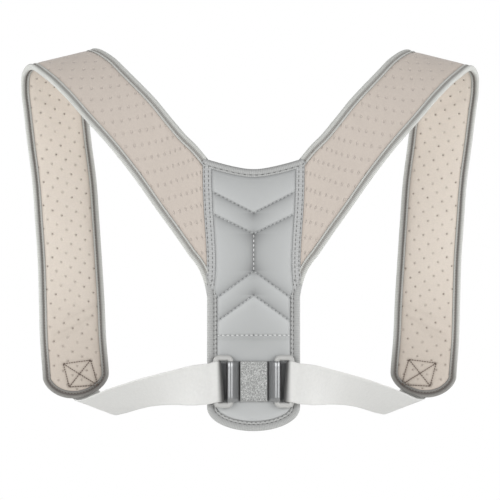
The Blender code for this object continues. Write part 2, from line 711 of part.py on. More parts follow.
def make_centre_patch():
    """Patch of napped fabric over the sewn ends of both loops."""
    base = FACING_FACE + 2 * LOOP_FABRIC + 3 * CLEARANCE
    sections = []
    for share, rise in PATCH_LEVELS:
        y = -BACK_DEPTH - base - rise * PATCH_THICKNESS
        half_w, half_h = PATCH_WIDTH / 2 * share, WEBBING_WIDTH / 2 * share
        corners = ((-1, -1), (1, -1), (1, 1), (-1, 1))
        sections.append([(sx * half_w, y, BUCKLE_LEVEL + sz * half_h) for sx, sz in corners])
    add_object("centre_patch", *loft(np.array(sections)), (0.45, 0.45, 0.45), 0.95)


def elastic_rows():
    """The right elastic strap's middle line and way across, from its sewn end to the buckle."""
    rows = []
    for run in STRAP_LENGTH - SEWN_LENGTH * np.array(SEWN_SHARES):
        normal = strap_normal(run, 0.5)
        across = unit(strap_point(run, 0.0) - strap_point(run, 1.0))
        rows.append((*(strap_point(run, 0.5) + normal * STRAP_OVERLAY), *across))
    tip = strap_point(STRAP_LENGTH, 0.5) + strap_normal(STRAP_LENGTH, 0.5) * STRAP_OVERLAY
    wrap = BUCKLE_BAR / 2 + CLEARANCE + WEBBING_THICKNESS / 2
    bar = buckle_bar(1) + (0, -wrap, 0)
    for inward, back, sag, turn, lean in ELASTIC_ROWS:
        middle = (
            tip[0] + (bar[0] - tip[0]) * inward,
            tip[1] + (bar[1] - tip[1]) * back,
            tip[2] + (bar[2] - tip[2]) * inward - sag * WEBBING_WIDTH,
        )
        across = way_across(turn, lean) * (-1, -1, 1)
        rows.append((*middle, *across))
    rows.append((*bar, 0.0, 0.0, -1.0))
    return np.array(rows)


def elastic_edges(runs, offset):
    """Edge pairs of the elastic strap at these runs, moved off it towards the wearer."""
    rows = elastic_rows()
    knots = lengths_along(rows[:, :3])
    values = smooth(knots, rows, runs)
    middle, across = values[:, :3], unit(values[:, 3:])
    before, after = smooth(knots, rows, runs - SAMPLE_STEP), smooth(knots, rows, runs + SAMPLE_STEP)
    normal = unit(np.cross(across, (after - before)[:, :3])) * np.asarray(offset)[:, None]
    half = across * WEBBING_WIDTH / 2
    return np.stack([middle - half + normal, middle + half + normal], axis=1)


def make_elastic_straps():
    """Elastic straps: sewn to the shoulder strap, rolled under its tip, folded through the buckle."""
    length = lengths_along(elastic_rows()[:, :3])[-1]
    runs = np.linspace(0, length, round(length / SAMPLE_STEP))
    front = elastic_edges(runs, runs * 0)
    front = front[kept_along(front.transpose(1, 0, 2))]
    wrap = BUCKLE_BAR / 2 + CLEARANCE + WEBBING_THICKNESS / 2
    bar = buckle_bar(1)
    half = np.array([0, 0, WEBBING_WIDTH / 2])
    folded = []
    for angle in np.radians(np.linspace(90, -90, 9)[1:]):
        at = bar + wrap * np.array([-math.cos(angle), -math.sin(angle), 0.0])
        folded.append((at + half, at - half))
    layered = WEBBING_THICKNESS + 2 * CLEARANCE + TAB_THICKNESS
    back_runs = length - np.linspace(0, RETURN_LENGTH, 12)[1:]
    closing = np.clip((length - back_runs) / RETURN_CLOSING, 0, 1)
    closing = closing**2 * (3 - 2 * closing)
    back = elastic_edges(back_runs, 2 * wrap + (layered - 2 * wrap) * closing)
    edges = np.concatenate([front, np.array(folded), back])
    both_sides("elastic_strap", *strip(edges, WEBBING_THICKNESS), (0.70, 0.70, 0.69), 0.85)
    tab_runs = length - RETURN_LENGTH + np.linspace(CLEARANCE, TAB_LENGTH, TAB_ROWS)
    tab = elastic_edges(tab_runs, np.full(TAB_ROWS, layered / 2))
    across = unit(tab[:, 1] - tab[:, 0])[:, None] * TAB_INSET
    tab = tab + np.concatenate([across, -across], axis=1)
    both_sides("hook_tab", *strip(tab, TAB_THICKNESS), (0.60, 0.60, 0.59), 0.95)


def main():
    for obj in list(bpy.data.objects):
        bpy.data.objects.remove(obj, do_unlink=True)
    make_bindings()
    make_shoulder_straps()
    make_back_panel()
    make_seam_tapes()
    make_quilted_facing()
    make_buckles()
    make_ring_loops()
    make_centre_patch()
    make_elastic_straps()


main()
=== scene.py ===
"""Posture corrector in its worn form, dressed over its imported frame.

Laid out as a Blender add-on: property groups hold what can be set, one operator makes each group
of like pieces, and main() runs them in order. Metres, +Z up. Seen from behind the wearer +X is to
the right, and +Y is the way the wearer faces. Tables whose columns say so are in millimetres.
"""

import math

import bpy
import numpy as np
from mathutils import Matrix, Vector, kdtree, noise


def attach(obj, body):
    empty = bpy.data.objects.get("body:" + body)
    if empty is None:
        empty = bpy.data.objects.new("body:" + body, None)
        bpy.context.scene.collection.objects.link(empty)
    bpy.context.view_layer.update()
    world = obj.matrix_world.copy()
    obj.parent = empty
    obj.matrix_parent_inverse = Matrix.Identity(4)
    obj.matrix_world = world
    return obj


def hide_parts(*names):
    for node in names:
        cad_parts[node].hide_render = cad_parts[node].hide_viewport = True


bl_info = {
    "name": "Posture corrector",
    "version": (1, 0, 0),
    "blender": (4, 5, 0),
    "location": "3D View > Sidebar > Posture corrector",
    "description": "Quilted back panel, padded shoulder straps and elastic side straps",
    "category": "Object",
}

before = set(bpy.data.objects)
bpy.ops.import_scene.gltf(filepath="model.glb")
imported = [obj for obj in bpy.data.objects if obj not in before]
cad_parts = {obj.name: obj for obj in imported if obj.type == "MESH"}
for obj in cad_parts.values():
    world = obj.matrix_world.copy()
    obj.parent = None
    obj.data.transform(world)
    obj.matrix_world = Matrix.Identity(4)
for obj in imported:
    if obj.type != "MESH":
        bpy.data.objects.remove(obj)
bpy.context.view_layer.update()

MM = 0.001
SIDES = ("right", "left")

# The frame's own sizes, as in the part's source
SHOULDER_SPAN = 0.409
BACK_DEPTH = 0.070
CHEST_DEPTH = 0.0575
FRONT_LENGTH = 0.354
NECK_DROP = 0.1175
PANEL_WIDTH = 0.0906
PANEL_HEIGHT = 0.255
NECK_RISE = 0.0108
NECK_POWER = 1.35
NECK_SOFT = 0.004
FOOT_ROUND = 0.0230
SEAM_LENGTH = 0.135
SEAM_BOW = 0.004
SEAM_FADE = 0.030
ARMPIT_BOW = 0.0024
ARMPIT_REACH = 0.032
STRAP_WIDTH = 0.0675
STRAP_THICKNESS = 0.0060
STRAP_END = 0.024
END_POWERS = (1.08, 1.25)
ROLL = 0.0030
EDGE_THICKNESS = 0.0029
TAPE_WIDTH = 0.0087
BUCKLE_DROP = 0.206
BUCKLE_SPREAD = 0.0592
BUCKLE_WIDTH = 0.0193
BUCKLE_BAR = 0.0054
BUCKLE_CORNER = 0.0031
BUCKLE_FACE = 0.0787  # from the origin back to the bars' middle
LOOP_FABRIC = 0.0009
PATCH_WIDTH = 0.0264
PATCH_BASE = 0.0762
PATCH_THICKNESS = 0.0014
WEBBING_WIDTH = 0.0395
WEBBING_THICKNESS = 0.0016
WEBBING_SLACK = 0.0005
SEWN_LENGTH = 0.046
SEWN_SHARES = (1.0, 0.6, 0.25)
STRAP_OVERLAY = 0.0049
RETURN_LENGTH = 0.085
RETURN_CLOSING = 0.030
TAB_LENGTH = 0.030
TAB_THICKNESS = 0.0012
CLEARANCE = 0.0003

PANEL_FACING = np.array([0.0, -1.0, 0.0])
PANEL_HALF = PANEL_WIDTH / 2
NECK_CORNER = NECK_RISE - NECK_DROP
SEAM_MIDDLE = NECK_CORNER - SEAM_LENGTH / 2
PANEL_FOOT = -NECK_DROP - PANEL_HEIGHT
BUCKLE_LEVEL = -NECK_DROP - BUCKLE_DROP

BACK_ROWS = (
    # out, deep, high, flare, turn, lean
    (0.000, 0.000, 1.000, 1.00, 90, 0),
    (0.067, 0.003, 0.881, 0.73, 89, 0.3),
    (0.162, 0.024, 0.766, 0.49, 85, 1),
    (0.270, 0.064, 0.636, 0.30, 78.5, 2.5),
    (0.385, 0.105, 0.495, 0.16, 72, 5),
    (0.501, 0.163, 0.369, 0.05, 64, 8),
    (0.619, 0.245, 0.252, 0.00, 55.5, 12),
    (0.743, 0.358, 0.130, -0.04, 40, 14.5),
    (0.853, 0.480, 0.048, -0.04, 27.5, 15),
    (0.933, 0.608, 0.014, 0.00, 15, 13.5),
)
CHEST_ROWS = (
    # out, deep, low, flare, turn, lean
    (0.982, 0.722, 0.027, 0.00, 9, 12.5),
    (1.000, 0.827, 0.076, 0.00, 5, 13),
    (0.991, 0.906, 0.146, 0.00, 3, 13),
    (0.974, 0.957, 0.231, 0.00, 1.5, 12),
    (0.942, 0.984, 0.352, 0.00, 2, 11),
    (0.924, 0.996, 0.470, 0.00, 2, 10.5),
    (0.907, 1.000, 0.589, 0.00, 1.5, 9.5),
    (0.895, 1.000, 0.705, 0.02, 0, 9),
    (0.885, 1.000, 0.824, 0.03, 0, 9),
    (0.869, 1.000, 0.916, 0.03, 4, 9),
    (0.860, 1.000, 0.995, 0.03, 5, 9),
)
ELASTIC_ROWS = (
    # inward, back, sag, turn, lean
    (0.071, -0.025, 0.01, 8, 7),
    (0.105, -0.020, 0.29, 20, 6),
    (0.150, 0.030, 0.35, 24, 9),
    (0.228, 0.118, 0.31, 31, 16),
    (0.327, 0.228, 0.22, 42, 26),
    (0.418, 0.343, 0.15, 51, 32),
    (0.514, 0.462, 0.09, 60, 33),
    (0.633, 0.612, 0.05, 68, 29),
    (0.773, 0.810, 0.02, 78, 18),
    (0.890, 0.955, 0.00, 87, 2),
    (0.960, 1.000, 0.01, 90, 0),
)
QUILT_ROWS = (
    # at the spine, at the sides, as shares of the panel's height
    (0.168, 0.086),
    (0.247, 0.169),
    (0.388, 0.490),
    (0.480, 0.580),
    (0.633, 0.633),
)

# Folded binding across, from its nose inwards: inset and height in mm, and how dark its painted shade
# is
STRAP_EDGE_ROWS = (
    (0.0, 0.0, 0.10), (0.08, 0.90, 0.03), (0.36, 1.75, 0.0), (0.90, 2.50, 0.0),
    (1.60, 2.98, 0.08), (2.40, 3.12, 0.22), (3.10, 2.95, 0.38), (3.60, 2.66, 0.52),
    (4.05, 2.25, 0.70), (4.45, 1.95, 0.82), (5.55, 1.95, 0.82), (5.85, 2.30, 0.6),
    (6.20, 2.62, 0.25), (6.70, 2.76, 0.2), (7.25, 2.74, 0.2), (7.65, 2.58, 0.3),
    (7.90, 2.20, 0.7),
)
NECK_EDGE_ROWS = (
    (0.0, 0.0, 0.60), (0.10, 0.95, 0.52), (0.50, 1.85, 0.42), (1.20, 2.55, 0.30),
    (2.20, 3.05, 0.20), (3.40, 3.30, 0.10), (4.60, 3.36, 0.08), (5.20, 3.25, 0.18),
    (5.60, 3.05, 0.32), (5.90, 2.95, 0.42), (6.20, 3.05, 0.25), (6.60, 3.20, 0.06),
    (7.20, 3.22, 0.06), (7.70, 3.15, 0.06), (7.95, 3.02, 0.06),
)
PANEL_EDGE_ROWS = (
    (0.0, 0.0, 0.0), (0.10, 0.95, 0.0), (0.50, 1.85, 0.0), (1.20, 2.55, 0.0),
    (2.20, 3.05, 0.08), (3.40, 3.25, 0.16), (4.80, 3.22, 0.25), (5.70, 3.05, 0.32),
    (6.30, 2.85, 0.42), (6.75, 2.70, 0.5), (7.20, 2.90, 0.3), (7.70, 3.25, 0.0),
    (8.30, 3.32, 0.05), (8.70, 3.12, 0.35), (9.10, 3.20, 0.15), (9.45, 3.00, 0.3),
    (9.60, 2.75, 0.6),
)
STRAP_LIP = STRAP_EDGE_ROWS[-1][0]  # how far in each binding reaches, in mm
NECK_LIP = NECK_EDGE_ROWS[-1][0]
PANEL_LIP = PANEL_EDGE_ROWS[-1][0]
EDGE_SLOT = (2.6, 1.9)  # its floor and half its gap, in mm


# Numbers and surfaces


def unit(vectors):
    """The vectors brought to length one."""
    return vectors / np.linalg.norm(vectors, axis=-1, keepdims=True)


def smooth(knots, values, at):
    """A curve through rows of values: cubic pieces whose slopes come from the neighbours."""
    step = np.diff(knots)
    rate = np.diff(values, axis=0) / step[:, None]
    total = (step[:-1] + step[1:])[:, None]
    inner = (rate[:-1] * step[1:, None] + rate[1:] * step[:-1, None]) / total
    slope = np.concatenate([rate[:1], inner, rate[-1:]])
    at = np.clip(at, knots[0], knots[-1])
    i = np.clip(np.searchsorted(knots, at, side="right") - 1, 0, len(step) - 1)
    h = step[i][..., None]
    f = ((at - knots[i]) / step[i])[..., None]
    near = (1 + 2 * f) * (1 - f) ** 2 * values[i] + f * (1 - f) ** 2 * h * slope[i]
    far = f**2 * (3 - 2 * f) * values[i + 1] + f**2 * (f - 1) * h * slope[i + 1]
    return near + far


def points_at(x, y, z):
    """Points from their coordinates, each an array or one value for all."""
    return np.stack(np.broadcast_arrays(x, y, z), axis=-1)


def lengths_along(points):
    """Running length at each point of a chain."""
    steps = np.linalg.norm(np.diff(points, axis=0), axis=1)
    return np.concatenate([[0.0], np.cumsum(steps)])


def read_off(values, run, at):
    """Rows of values, which lie at running lengths, read off at other lengths."""
    return np.stack([np.interp(at, run, column) for column in values.T], axis=1)


def way_across(turn, lean):
    """Unit direction from a strap's neck edge to its arm edge, from its angles in degrees."""
    turn, lean = np.radians(turn), np.radians(lean)
    level = np.cos(lean)
    return points_at(np.cos(turn) * level, -np.sin(lean), -np.sin(turn) * level)


def strap_rows():
    """The right strap's rows in metres: middle line, width and the two angles across it."""
    reach = SHOULDER_SPAN / 2 - PANEL_HALF
    rows = []
    for table, drop in ((BACK_ROWS, SEAM_MIDDLE), (CHEST_ROWS, -FRONT_LENGTH)):
        for out, deep, down, flare, turn, lean in table:
            middle = (
                PANEL_HALF + out * reach,
                deep * (BACK_DEPTH + CHEST_DEPTH) - BACK_DEPTH,
                down * drop,
            )
            width = STRAP_WIDTH + flare * (SEAM_LENGTH - STRAP_WIDTH)
            rows.append((*middle, width, turn, lean))
    return np.array(rows)


STRAP_ROWS = strap_rows()
STRAP_KNOTS = lengths_along(STRAP_ROWS[:, :3])
STRAP_LENGTH = STRAP_KNOTS[-1]


def strap_point(run, share):
    """The right strap's middle surface: run along it from the seam, share across it."""
    run, share = np.broadcast_arrays(np.asarray(run, float), np.asarray(share, float))
    row = smooth(STRAP_KNOTS, STRAP_ROWS, run)
    across = way_across(row[..., 4], row[..., 5]) * row[..., 3:4]
    point = row[..., :3] + across * (share - 0.5)[..., None]
    fade = np.clip(1 - run / SEAM_FADE, 0, 1) ** 2
    inside = np.clip(share, 0, 1)
    # The bow is fullest three quarters of the way across, where its shape is 27 / 256
    point[..., 0] -= SEAM_BOW * fade * inside**3 * (1 - inside) * 256 / 27
    at_armpit = np.clip(run / ARMPIT_REACH, 0, 1)
    point[..., 0] -= ARMPIT_BOW * 4 * at_armpit * (1 - at_armpit) * inside**3
    return point


def strap_width(run):
    """Width of the strap at a run along it."""
    return smooth(STRAP_KNOTS, STRAP_ROWS, np.asarray(run, float))[..., 3]


def strap_normal(run, share):
    """Unit normal of that surface, away from the wearer."""
    run = np.asarray(run, float)
    along = strap_point(run + MM, share) - strap_point(np.maximum(run - MM, 0), share)
    across = strap_point(run, share + 0.02) - strap_point(run, share - 0.02)
    at_seam = np.clip(1 - run / ROLL, 0, 1)[..., None]
    return unit(unit(np.cross(across, along)) * (1 - at_seam) + PANEL_FACING * at_seam)


def neckline(x):
    """Height of the panel's neck edge at a distance from the spine."""
    rounded = np.sqrt(x**2 + NECK_SOFT**2) - NECK_SOFT
    return NECK_RISE * (rounded / PANEL_HALF) ** NECK_POWER - NECK_DROP


def strap_end(angles):
    """Run and share of the strap's rounded end, from the neck edge round to the arm edge."""
    share = 0.5 - 0.5 * np.cos(angles)
    power = END_POWERS[0] + (END_POWERS[1] - END_POWERS[0]) * share
    return STRAP_LENGTH - STRAP_END * (1 - np.sin(angles) ** power), share


def mirrored(points):
    """The same points on the other side of the spine."""
    return points * np.array([-1.0, 1.0, 1.0])


def facing_out(chain):
    """The way that the panel faces, at each point of a chain."""
    return np.tile(PANEL_FACING, (len(chain), 1))


def ease(x):
    """From 0 to 1 with a soft start and end."""
    x = np.clip(x, 0, 1)
    return x * x * (3 - 2 * x)


def rounded(x):
    """Height of a quarter circle, 0 to 1, at a share of the way in from its foot."""
    return np.sqrt(np.clip(1 - (1 - np.clip(x, 0, 1)) ** 2, 0, 1))


def uneven(points, size, height, seed=0.0):
    """Smooth random rise in metres, from bumps about that size and height in mm."""
    flat = (points.reshape(-1, 3) / (size * MM) + seed).tolist()
    values = np.array([noise.noise(p) for p in flat])
    return values.reshape(points.shape[:-1]) * height * MM


class Edge:
    """The object's one edge, a closed chain that every binding follows."""

    def __init__(self):
        straight = STRAP_LENGTH - STRAP_END
        x = np.arange(0, PANEL_HALF, MM)
        run = np.append(np.arange(0, straight, MM), straight)
        end_run, end_share = strap_end(np.linspace(0, math.pi, 121)[1:-1])
        runs = np.concatenate([run, end_run, run[:0:-1]])
        shares = np.concatenate([run * 0, end_share, run[:0:-1] * 0 + 1])
        strap = strap_point(runs, shares)
        foot = strap_point(0.0, 1.0)[2]
        side = np.arange(0, foot - PANEL_FOOT - FOOT_ROUND, MM)
        turn = np.linspace(0, math.pi / 2, 60)
        down = points_at(PANEL_HALF, -BACK_DEPTH, foot - side)
        low = PANEL_FOOT + FOOT_ROUND * (1 - np.sin(turn))
        bottom = points_at(PANEL_HALF * np.cos(turn), -BACK_DEPTH, low)
        neck = points_at(x, -BACK_DEPTH, neckline(x))
        half = np.concatenate([neck, strap, down, bottom])
        facing = np.tile(PANEL_FACING, (len(half), 1))
        self.start, self.stop = len(neck), len(neck) + len(strap)
        facing[self.start : self.stop] = strap_normal(runs, shares)
        self.half = len(half)
        self.points = np.concatenate([half, mirrored(half[-2:0:-1])])
        facing = np.concatenate([facing, mirrored(facing[-2:0:-1])])
        ahead = np.roll(self.points, -2, axis=0) - np.roll(self.points, 2, axis=0)
        along = unit(ahead)
        self.normals = unit(facing - along * np.sum(facing * along, axis=1, keepdims=True))
        self.inward = unit(np.cross(along, self.normals))

    def stretch(self, first, last, step):
        """Points, normals, inward directions and lengths along a stretch, evenly spaced."""
        i = np.arange(first, last + 1) % len(self.points)
        run = lengths_along(self.points[i])
        at = np.linspace(0, run[-1], max(round(run[-1] / step), 2))
        columns = np.concatenate([self.points[i], self.normals[i], self.inward[i]], axis=1)
        values = read_off(columns, run, at)
        return values[:, :3], unit(values[:, 3:6]), unit(values[:, 6:]), at


EDGE = Edge()
LAP = 12  # steps of the edge that the panel's binding runs on over each strap's
EDGE_PARTS = {
    "neck": (len(EDGE.points) - EDGE.start, len(EDGE.points) + EDGE.start),
    "panel": (EDGE.stop - LAP, 2 * EDGE.half - 2 - EDGE.stop + LAP),
    "strap": (EDGE.start, EDGE.stop - LAP + 3),
}


def finder(chain):
    """A tree that finds how far a point is from a chain of points."""
    tree = kdtree.KDTree(len(chain))
    for i, point in enumerate(chain):
        tree.insert(point, i)
    tree.balance()
    return tree


EDGE_TREE = finder(EDGE.points)
SEAM_TREE = finder(strap_point(0.0, np.linspace(-0.02, 1.02, 400)))


def distance(tree, points):
    """Distance from each point to a tree's chain."""
    near = np.array([tree.find(p)[2] for p in points.reshape(-1, 3).tolist()])
    return near.reshape(points.shape[:-1])


# Meshes


def add_mesh(name, points, faces, material, lay=None, shade=None):
    """A mesh object. lay holds lengths over the cloth in metres, shade how much painted shade darkens
    it.
    """
    mesh = bpy.data.meshes.new(name)
    points = np.asarray(points, float).reshape(-1, 3)
    mesh.from_pydata(points.tolist(), [], [tuple(int(i) for i in face) for face in faces])
    if lay is not None:
        layer = mesh.attributes.new("lay", "FLOAT_VECTOR", "POINT")
        layer.data.foreach_set("vector", np.asarray(lay, float).reshape(-1))
    if shade is not None:
        layer = mesh.attributes.new("shade", "FLOAT", "POINT")
        layer.data.foreach_set("value", np.asarray(shade, float).reshape(-1))
    mesh.shade_smooth()
    mesh.materials.append(material)
    made = bpy.data.objects.new(name, mesh)
    bpy.context.scene.collection.objects.link(made)
    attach(made, "root")
    return made


def stands_for(replaced):
    """Hides the node of the frame that a piece replaces."""
    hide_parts(replaced)


def both_sides(name, points, faces, material, replaced, slot, **layers):
    """A piece on the right and its mirror image on the left, in place of a pair of nodes."""
    flipped = [tuple(face)[::-1] for face in faces]
    pair = (
        add_mesh(f"{name}_right", points, faces, material, **layers),
        add_mesh(f"{name}_left", mirrored(points), flipped, material, **layers),
    )
    for made, side in zip(pair, SIDES):
        stands_for(f"{replaced}_{side}")
    return pair


def quads(rows, columns, shift=0, wrap=False):
    """Faces of a grid of points, rows by columns; wrap joins the last column to the first."""
    faces = []
    for i in range(rows - 1):
        for j in range(columns if wrap else columns - 1):
            a, b = i * columns + j + shift, i * columns + (j + 1) % columns + shift
            faces.append((a, b, b + columns, a + columns))
    return faces


def tube(grid):
    """Faces of a closed tube through rings of points, with its two ends."""
    rows, columns = grid.shape[:2]
    last = (rows - 1) * columns
    ends = [tuple(range(columns))[::-1], tuple(range(last, last + columns))]
    return quads(rows, columns, wrap=True) + ends


def slab(front, back):
    """Points and faces of a closed piece between a front and a back grid of one size.

    A layer for it holds the front grid's values and then the back grid's."""
    rows, columns = front.shape[:2]
    count = rows * columns
    faces = quads(rows, columns)
    faces += [face[::-1] for face in quads(rows, columns, shift=count)]
    rim = list(range(columns))
    rim += [i * columns + columns - 1 for i in range(1, rows)]
    rim += [(rows - 1) * columns + j for j in range(columns - 2, -1, -1)]
    rim += [i * columns for i in range(rows - 2, 0, -1)]
    for a, b in zip(rim, rim[1:] + rim[:1]):
        faces.append((a, a + count, b + count, b))
    return np.concatenate([front, back]), faces


# A stitch along its length: where, as a share of it, then girth and lift as shares of its radius
STITCH = (
    (-0.5, 0.45, -1.0),
    (-0.36, 0.9, 0.25),
    (0.0, 1.0, 0.55),
    (0.36, 0.9, 0.25),
    (0.5, 0.45, -1.0),
)


def stitches(rows, radius, name, material, sides=6, skew=0.0, sink=1.0):
    """Sewn rows as one mesh. Each row is (places, directions, normals, length)."""
    angles = np.linspace(0, 2 * math.pi, sides, endpoint=False)
    one = tube(np.empty((len(STITCH), sides)))
    rings, faces = [], []
    for places, ways, normals, length in rows:
        for place, way, normal in zip(places, ways, normals):
            side = np.cross(normal, way)
            way = unit(way * math.cos(skew) + side * math.sin(skew))
            side = np.cross(normal, way)
            ring = np.outer(np.cos(angles), side) + np.outer(np.sin(angles), normal)
            base = len(rings) * sides
            for reach, girth, lift in STITCH:
                centre = place + way * reach * length + normal * lift * radius * sink
                rings.append(centre + ring * girth * radius)
            faces += [tuple(base + i for i in face) for face in one]
    return add_mesh(name, np.concatenate(rings), faces, material)


def sewn_along(chain, normals, pitch, share=0.62):
    """One row of stitches along a chain: places, directions, normals and a stitch's length."""
    run = lengths_along(chain)
    count = max(int(run[-1] / pitch), 1)
    at = (np.arange(count) + 0.5) * run[-1] / count
    way = unit(read_off(chain, run, at + MM / 2) - read_off(chain, run, at - MM / 2))
    return read_off(chain, run, at), way, unit(read_off(normals, run, at)), pitch * share


# Colours and materials


def linear(code):
    """sRGB hex to the linear colour that the shaders use."""
    shares = [int(code[i : i + 2], 16) / 255 for i in (0, 2, 4)]
    return tuple(s / 12.92 if s <= 0.04045 else ((s + 0.055) / 1.055) ** 2.4 for s in shares)


# A colour mix's sockets: how much of its second colour, then its two colours
SHARE, FIRST, SECOND = 0, 6, 7
COLOUR_MIX = {"output": 2, "data_type": "RGBA"}


def node(tree, kind, inputs=None, output=0, **settings):
    """Adds one node and gives one of its outputs, the first unless another is asked for.

    Settings are the node's own, and inputs are values or the sockets to link from."""
    made = tree.nodes.new(kind)
    for name, value in settings.items():
        setattr(made, name, value)
    for name, value in (inputs or {}).items():
        if isinstance(value, bpy.types.NodeSocket):
            tree.links.new(value, made.inputs[name])
        else:
            made.inputs[name].default_value = value
    return made.outputs[output] if made.outputs else None


def new_material(name, **shader_values):
    """An empty material with its shader's constants set. Gives the tree and the shader too."""
    material = bpy.data.materials.new(name)
    material.use_nodes = True
    tree = material.node_tree
    shader = tree.nodes["Principled BSDF"]
    for socket, value in shader_values.items():
        shader.inputs[socket.replace("_", " ")].default_value = value
    return material, tree, shader


def rgba(colour, factor=1.0):
    """A colour as a socket takes it, made darker or lighter by a factor."""
    return (*[min(c * factor, 1.0) for c in colour], 1.0)


def cloth_lengths(tree):
    """The piece's own lengths over its cloth in metres: across it, along it and its side."""
    return node(tree, "ShaderNodeAttribute", output="Vector", attribute_name="lay")


def dyed(tree, colour, where, patch_mm, spread, detail=3.0):
    """A dyed cloth's slightly uneven colour, in patches of that size."""
    clouds = {"Vector": where, "Scale": 1000 / patch_mm, "Detail": detail, "Roughness": 0.6}
    share = node(tree, "ShaderNodeTexNoise", clouds)
    colours = {FIRST: rgba(colour, 1 - spread), SECOND: rgba(colour, 1 + spread)}
    return node(tree, "ShaderNodeMix", {SHARE: share, **colours}, **COLOUR_MIX)


def painted_shade(tree, colour, dark):
    """The colour, turning to a darker one by painted shade as far as the shade attribute says."""
    share = node(tree, "ShaderNodeAttribute", output="Fac", attribute_name="shade")
    colours = {FIRST: colour, SECOND: rgba(linear(dark))}
    return node(tree, "ShaderNodeMix", {SHARE: share, **colours}, **COLOUR_MIX)


def waves(tree, length, pitch_mm):
    """A rib pattern, -1 to 1, across a length in metres."""
    turns = {0: length, 1: 2 * math.pi * 1000 / pitch_mm}
    return node(
        tree, "ShaderNodeMath", {0: node(tree, "ShaderNodeMath", turns, operation="MULTIPLY")},
        operation="SINE",
    )


def dyed_material(name, colour, patch_mm, spread, detail=3.0, dark=None, solid=False, **constants):
    """A material of one dyed colour, turning by painted shade to a dark one where one is given.

    Its patterns lie on the cloth's own lengths, or in space on a solid or random piece. Gives
    the material, its tree and shader, and where the patterns lie."""
    material, tree, shader = new_material(name, **constants)
    if solid:
        where = node(tree, "ShaderNodeTexCoord", output="Object")
    else:
        where = cloth_lengths(tree)
    colour = dyed(tree, colour, where, patch_mm, spread, detail)
    if dark:
        colour = painted_shade(tree, colour, dark)
    tree.links.new(colour, shader.inputs["Base Color"])
    return material, tree, shader, where


def raised(tree, shader, height, depth_mm):
    """Relief from a height value, on top of whatever relief the shader already has."""
    inputs = {"Height": height, "Distance": depth_mm * MM}
    if shader.inputs["Normal"].is_linked:
        inputs["Normal"] = shader.inputs["Normal"].links[0].from_socket
    tree.links.new(node(tree, "ShaderNodeBump", inputs), shader.inputs["Normal"])


def grained(tree, shader, where, size_mm, detail, depth_mm):
    """Fine random relief with grains of that size."""
    grains = {"Vector": where, "Scale": 1000 / size_mm, "Detail": detail}
    raised(tree, shader, node(tree, "ShaderNodeTexNoise", grains), depth_mm)


def from_hole(tree, lay, outer, settings):
    """How far a place is from the nearest punched hole's middle, as a share of their spacing.

    The lattice wanders a little, and its rows turn another way on the outer face."""
    drift = {"Vector": lay, "Scale": 1000 / 22.0, "Detail": 1.0}
    drift = node(tree, "ShaderNodeTexNoise", drift, output="Color")
    drifted = {0: drift, 1: (1.6 * MM, 1.6 * MM, 0.0), 2: lay}
    place = node(tree, "ShaderNodeVectorMath", drifted, operation="MULTIPLY_ADD")
    place = node(tree, "ShaderNodeVectorMath", {0: place, 1: (1, 1, 0)}, operation="MULTIPLY")
    turns = {"Value": outer, "To Min": settings.hole_turn, "To Max": settings.outer_turn}
    turned = {"Vector": place, "Angle": node(tree, "ShaderNodeMapRange", turns)}
    place = node(tree, "ShaderNodeVectorRotate", turned, rotation_type="Z_AXIS")
    spaced = {0: place, 3: 1 / settings.hole_pitch}
    place = node(tree, "ShaderNodeVectorMath", spaced, operation="SCALE")
    place = node(tree, "ShaderNodeVectorMath", {0: place}, operation="FRACTION")
    centred = {0: place, 1: (0.5, 0.5, 0.0)}
    place = node(tree, "ShaderNodeVectorMath", centred, operation="SUBTRACT")
    return node(tree, "ShaderNodeVectorMath", {0: place}, output="Value", operation="LENGTH")


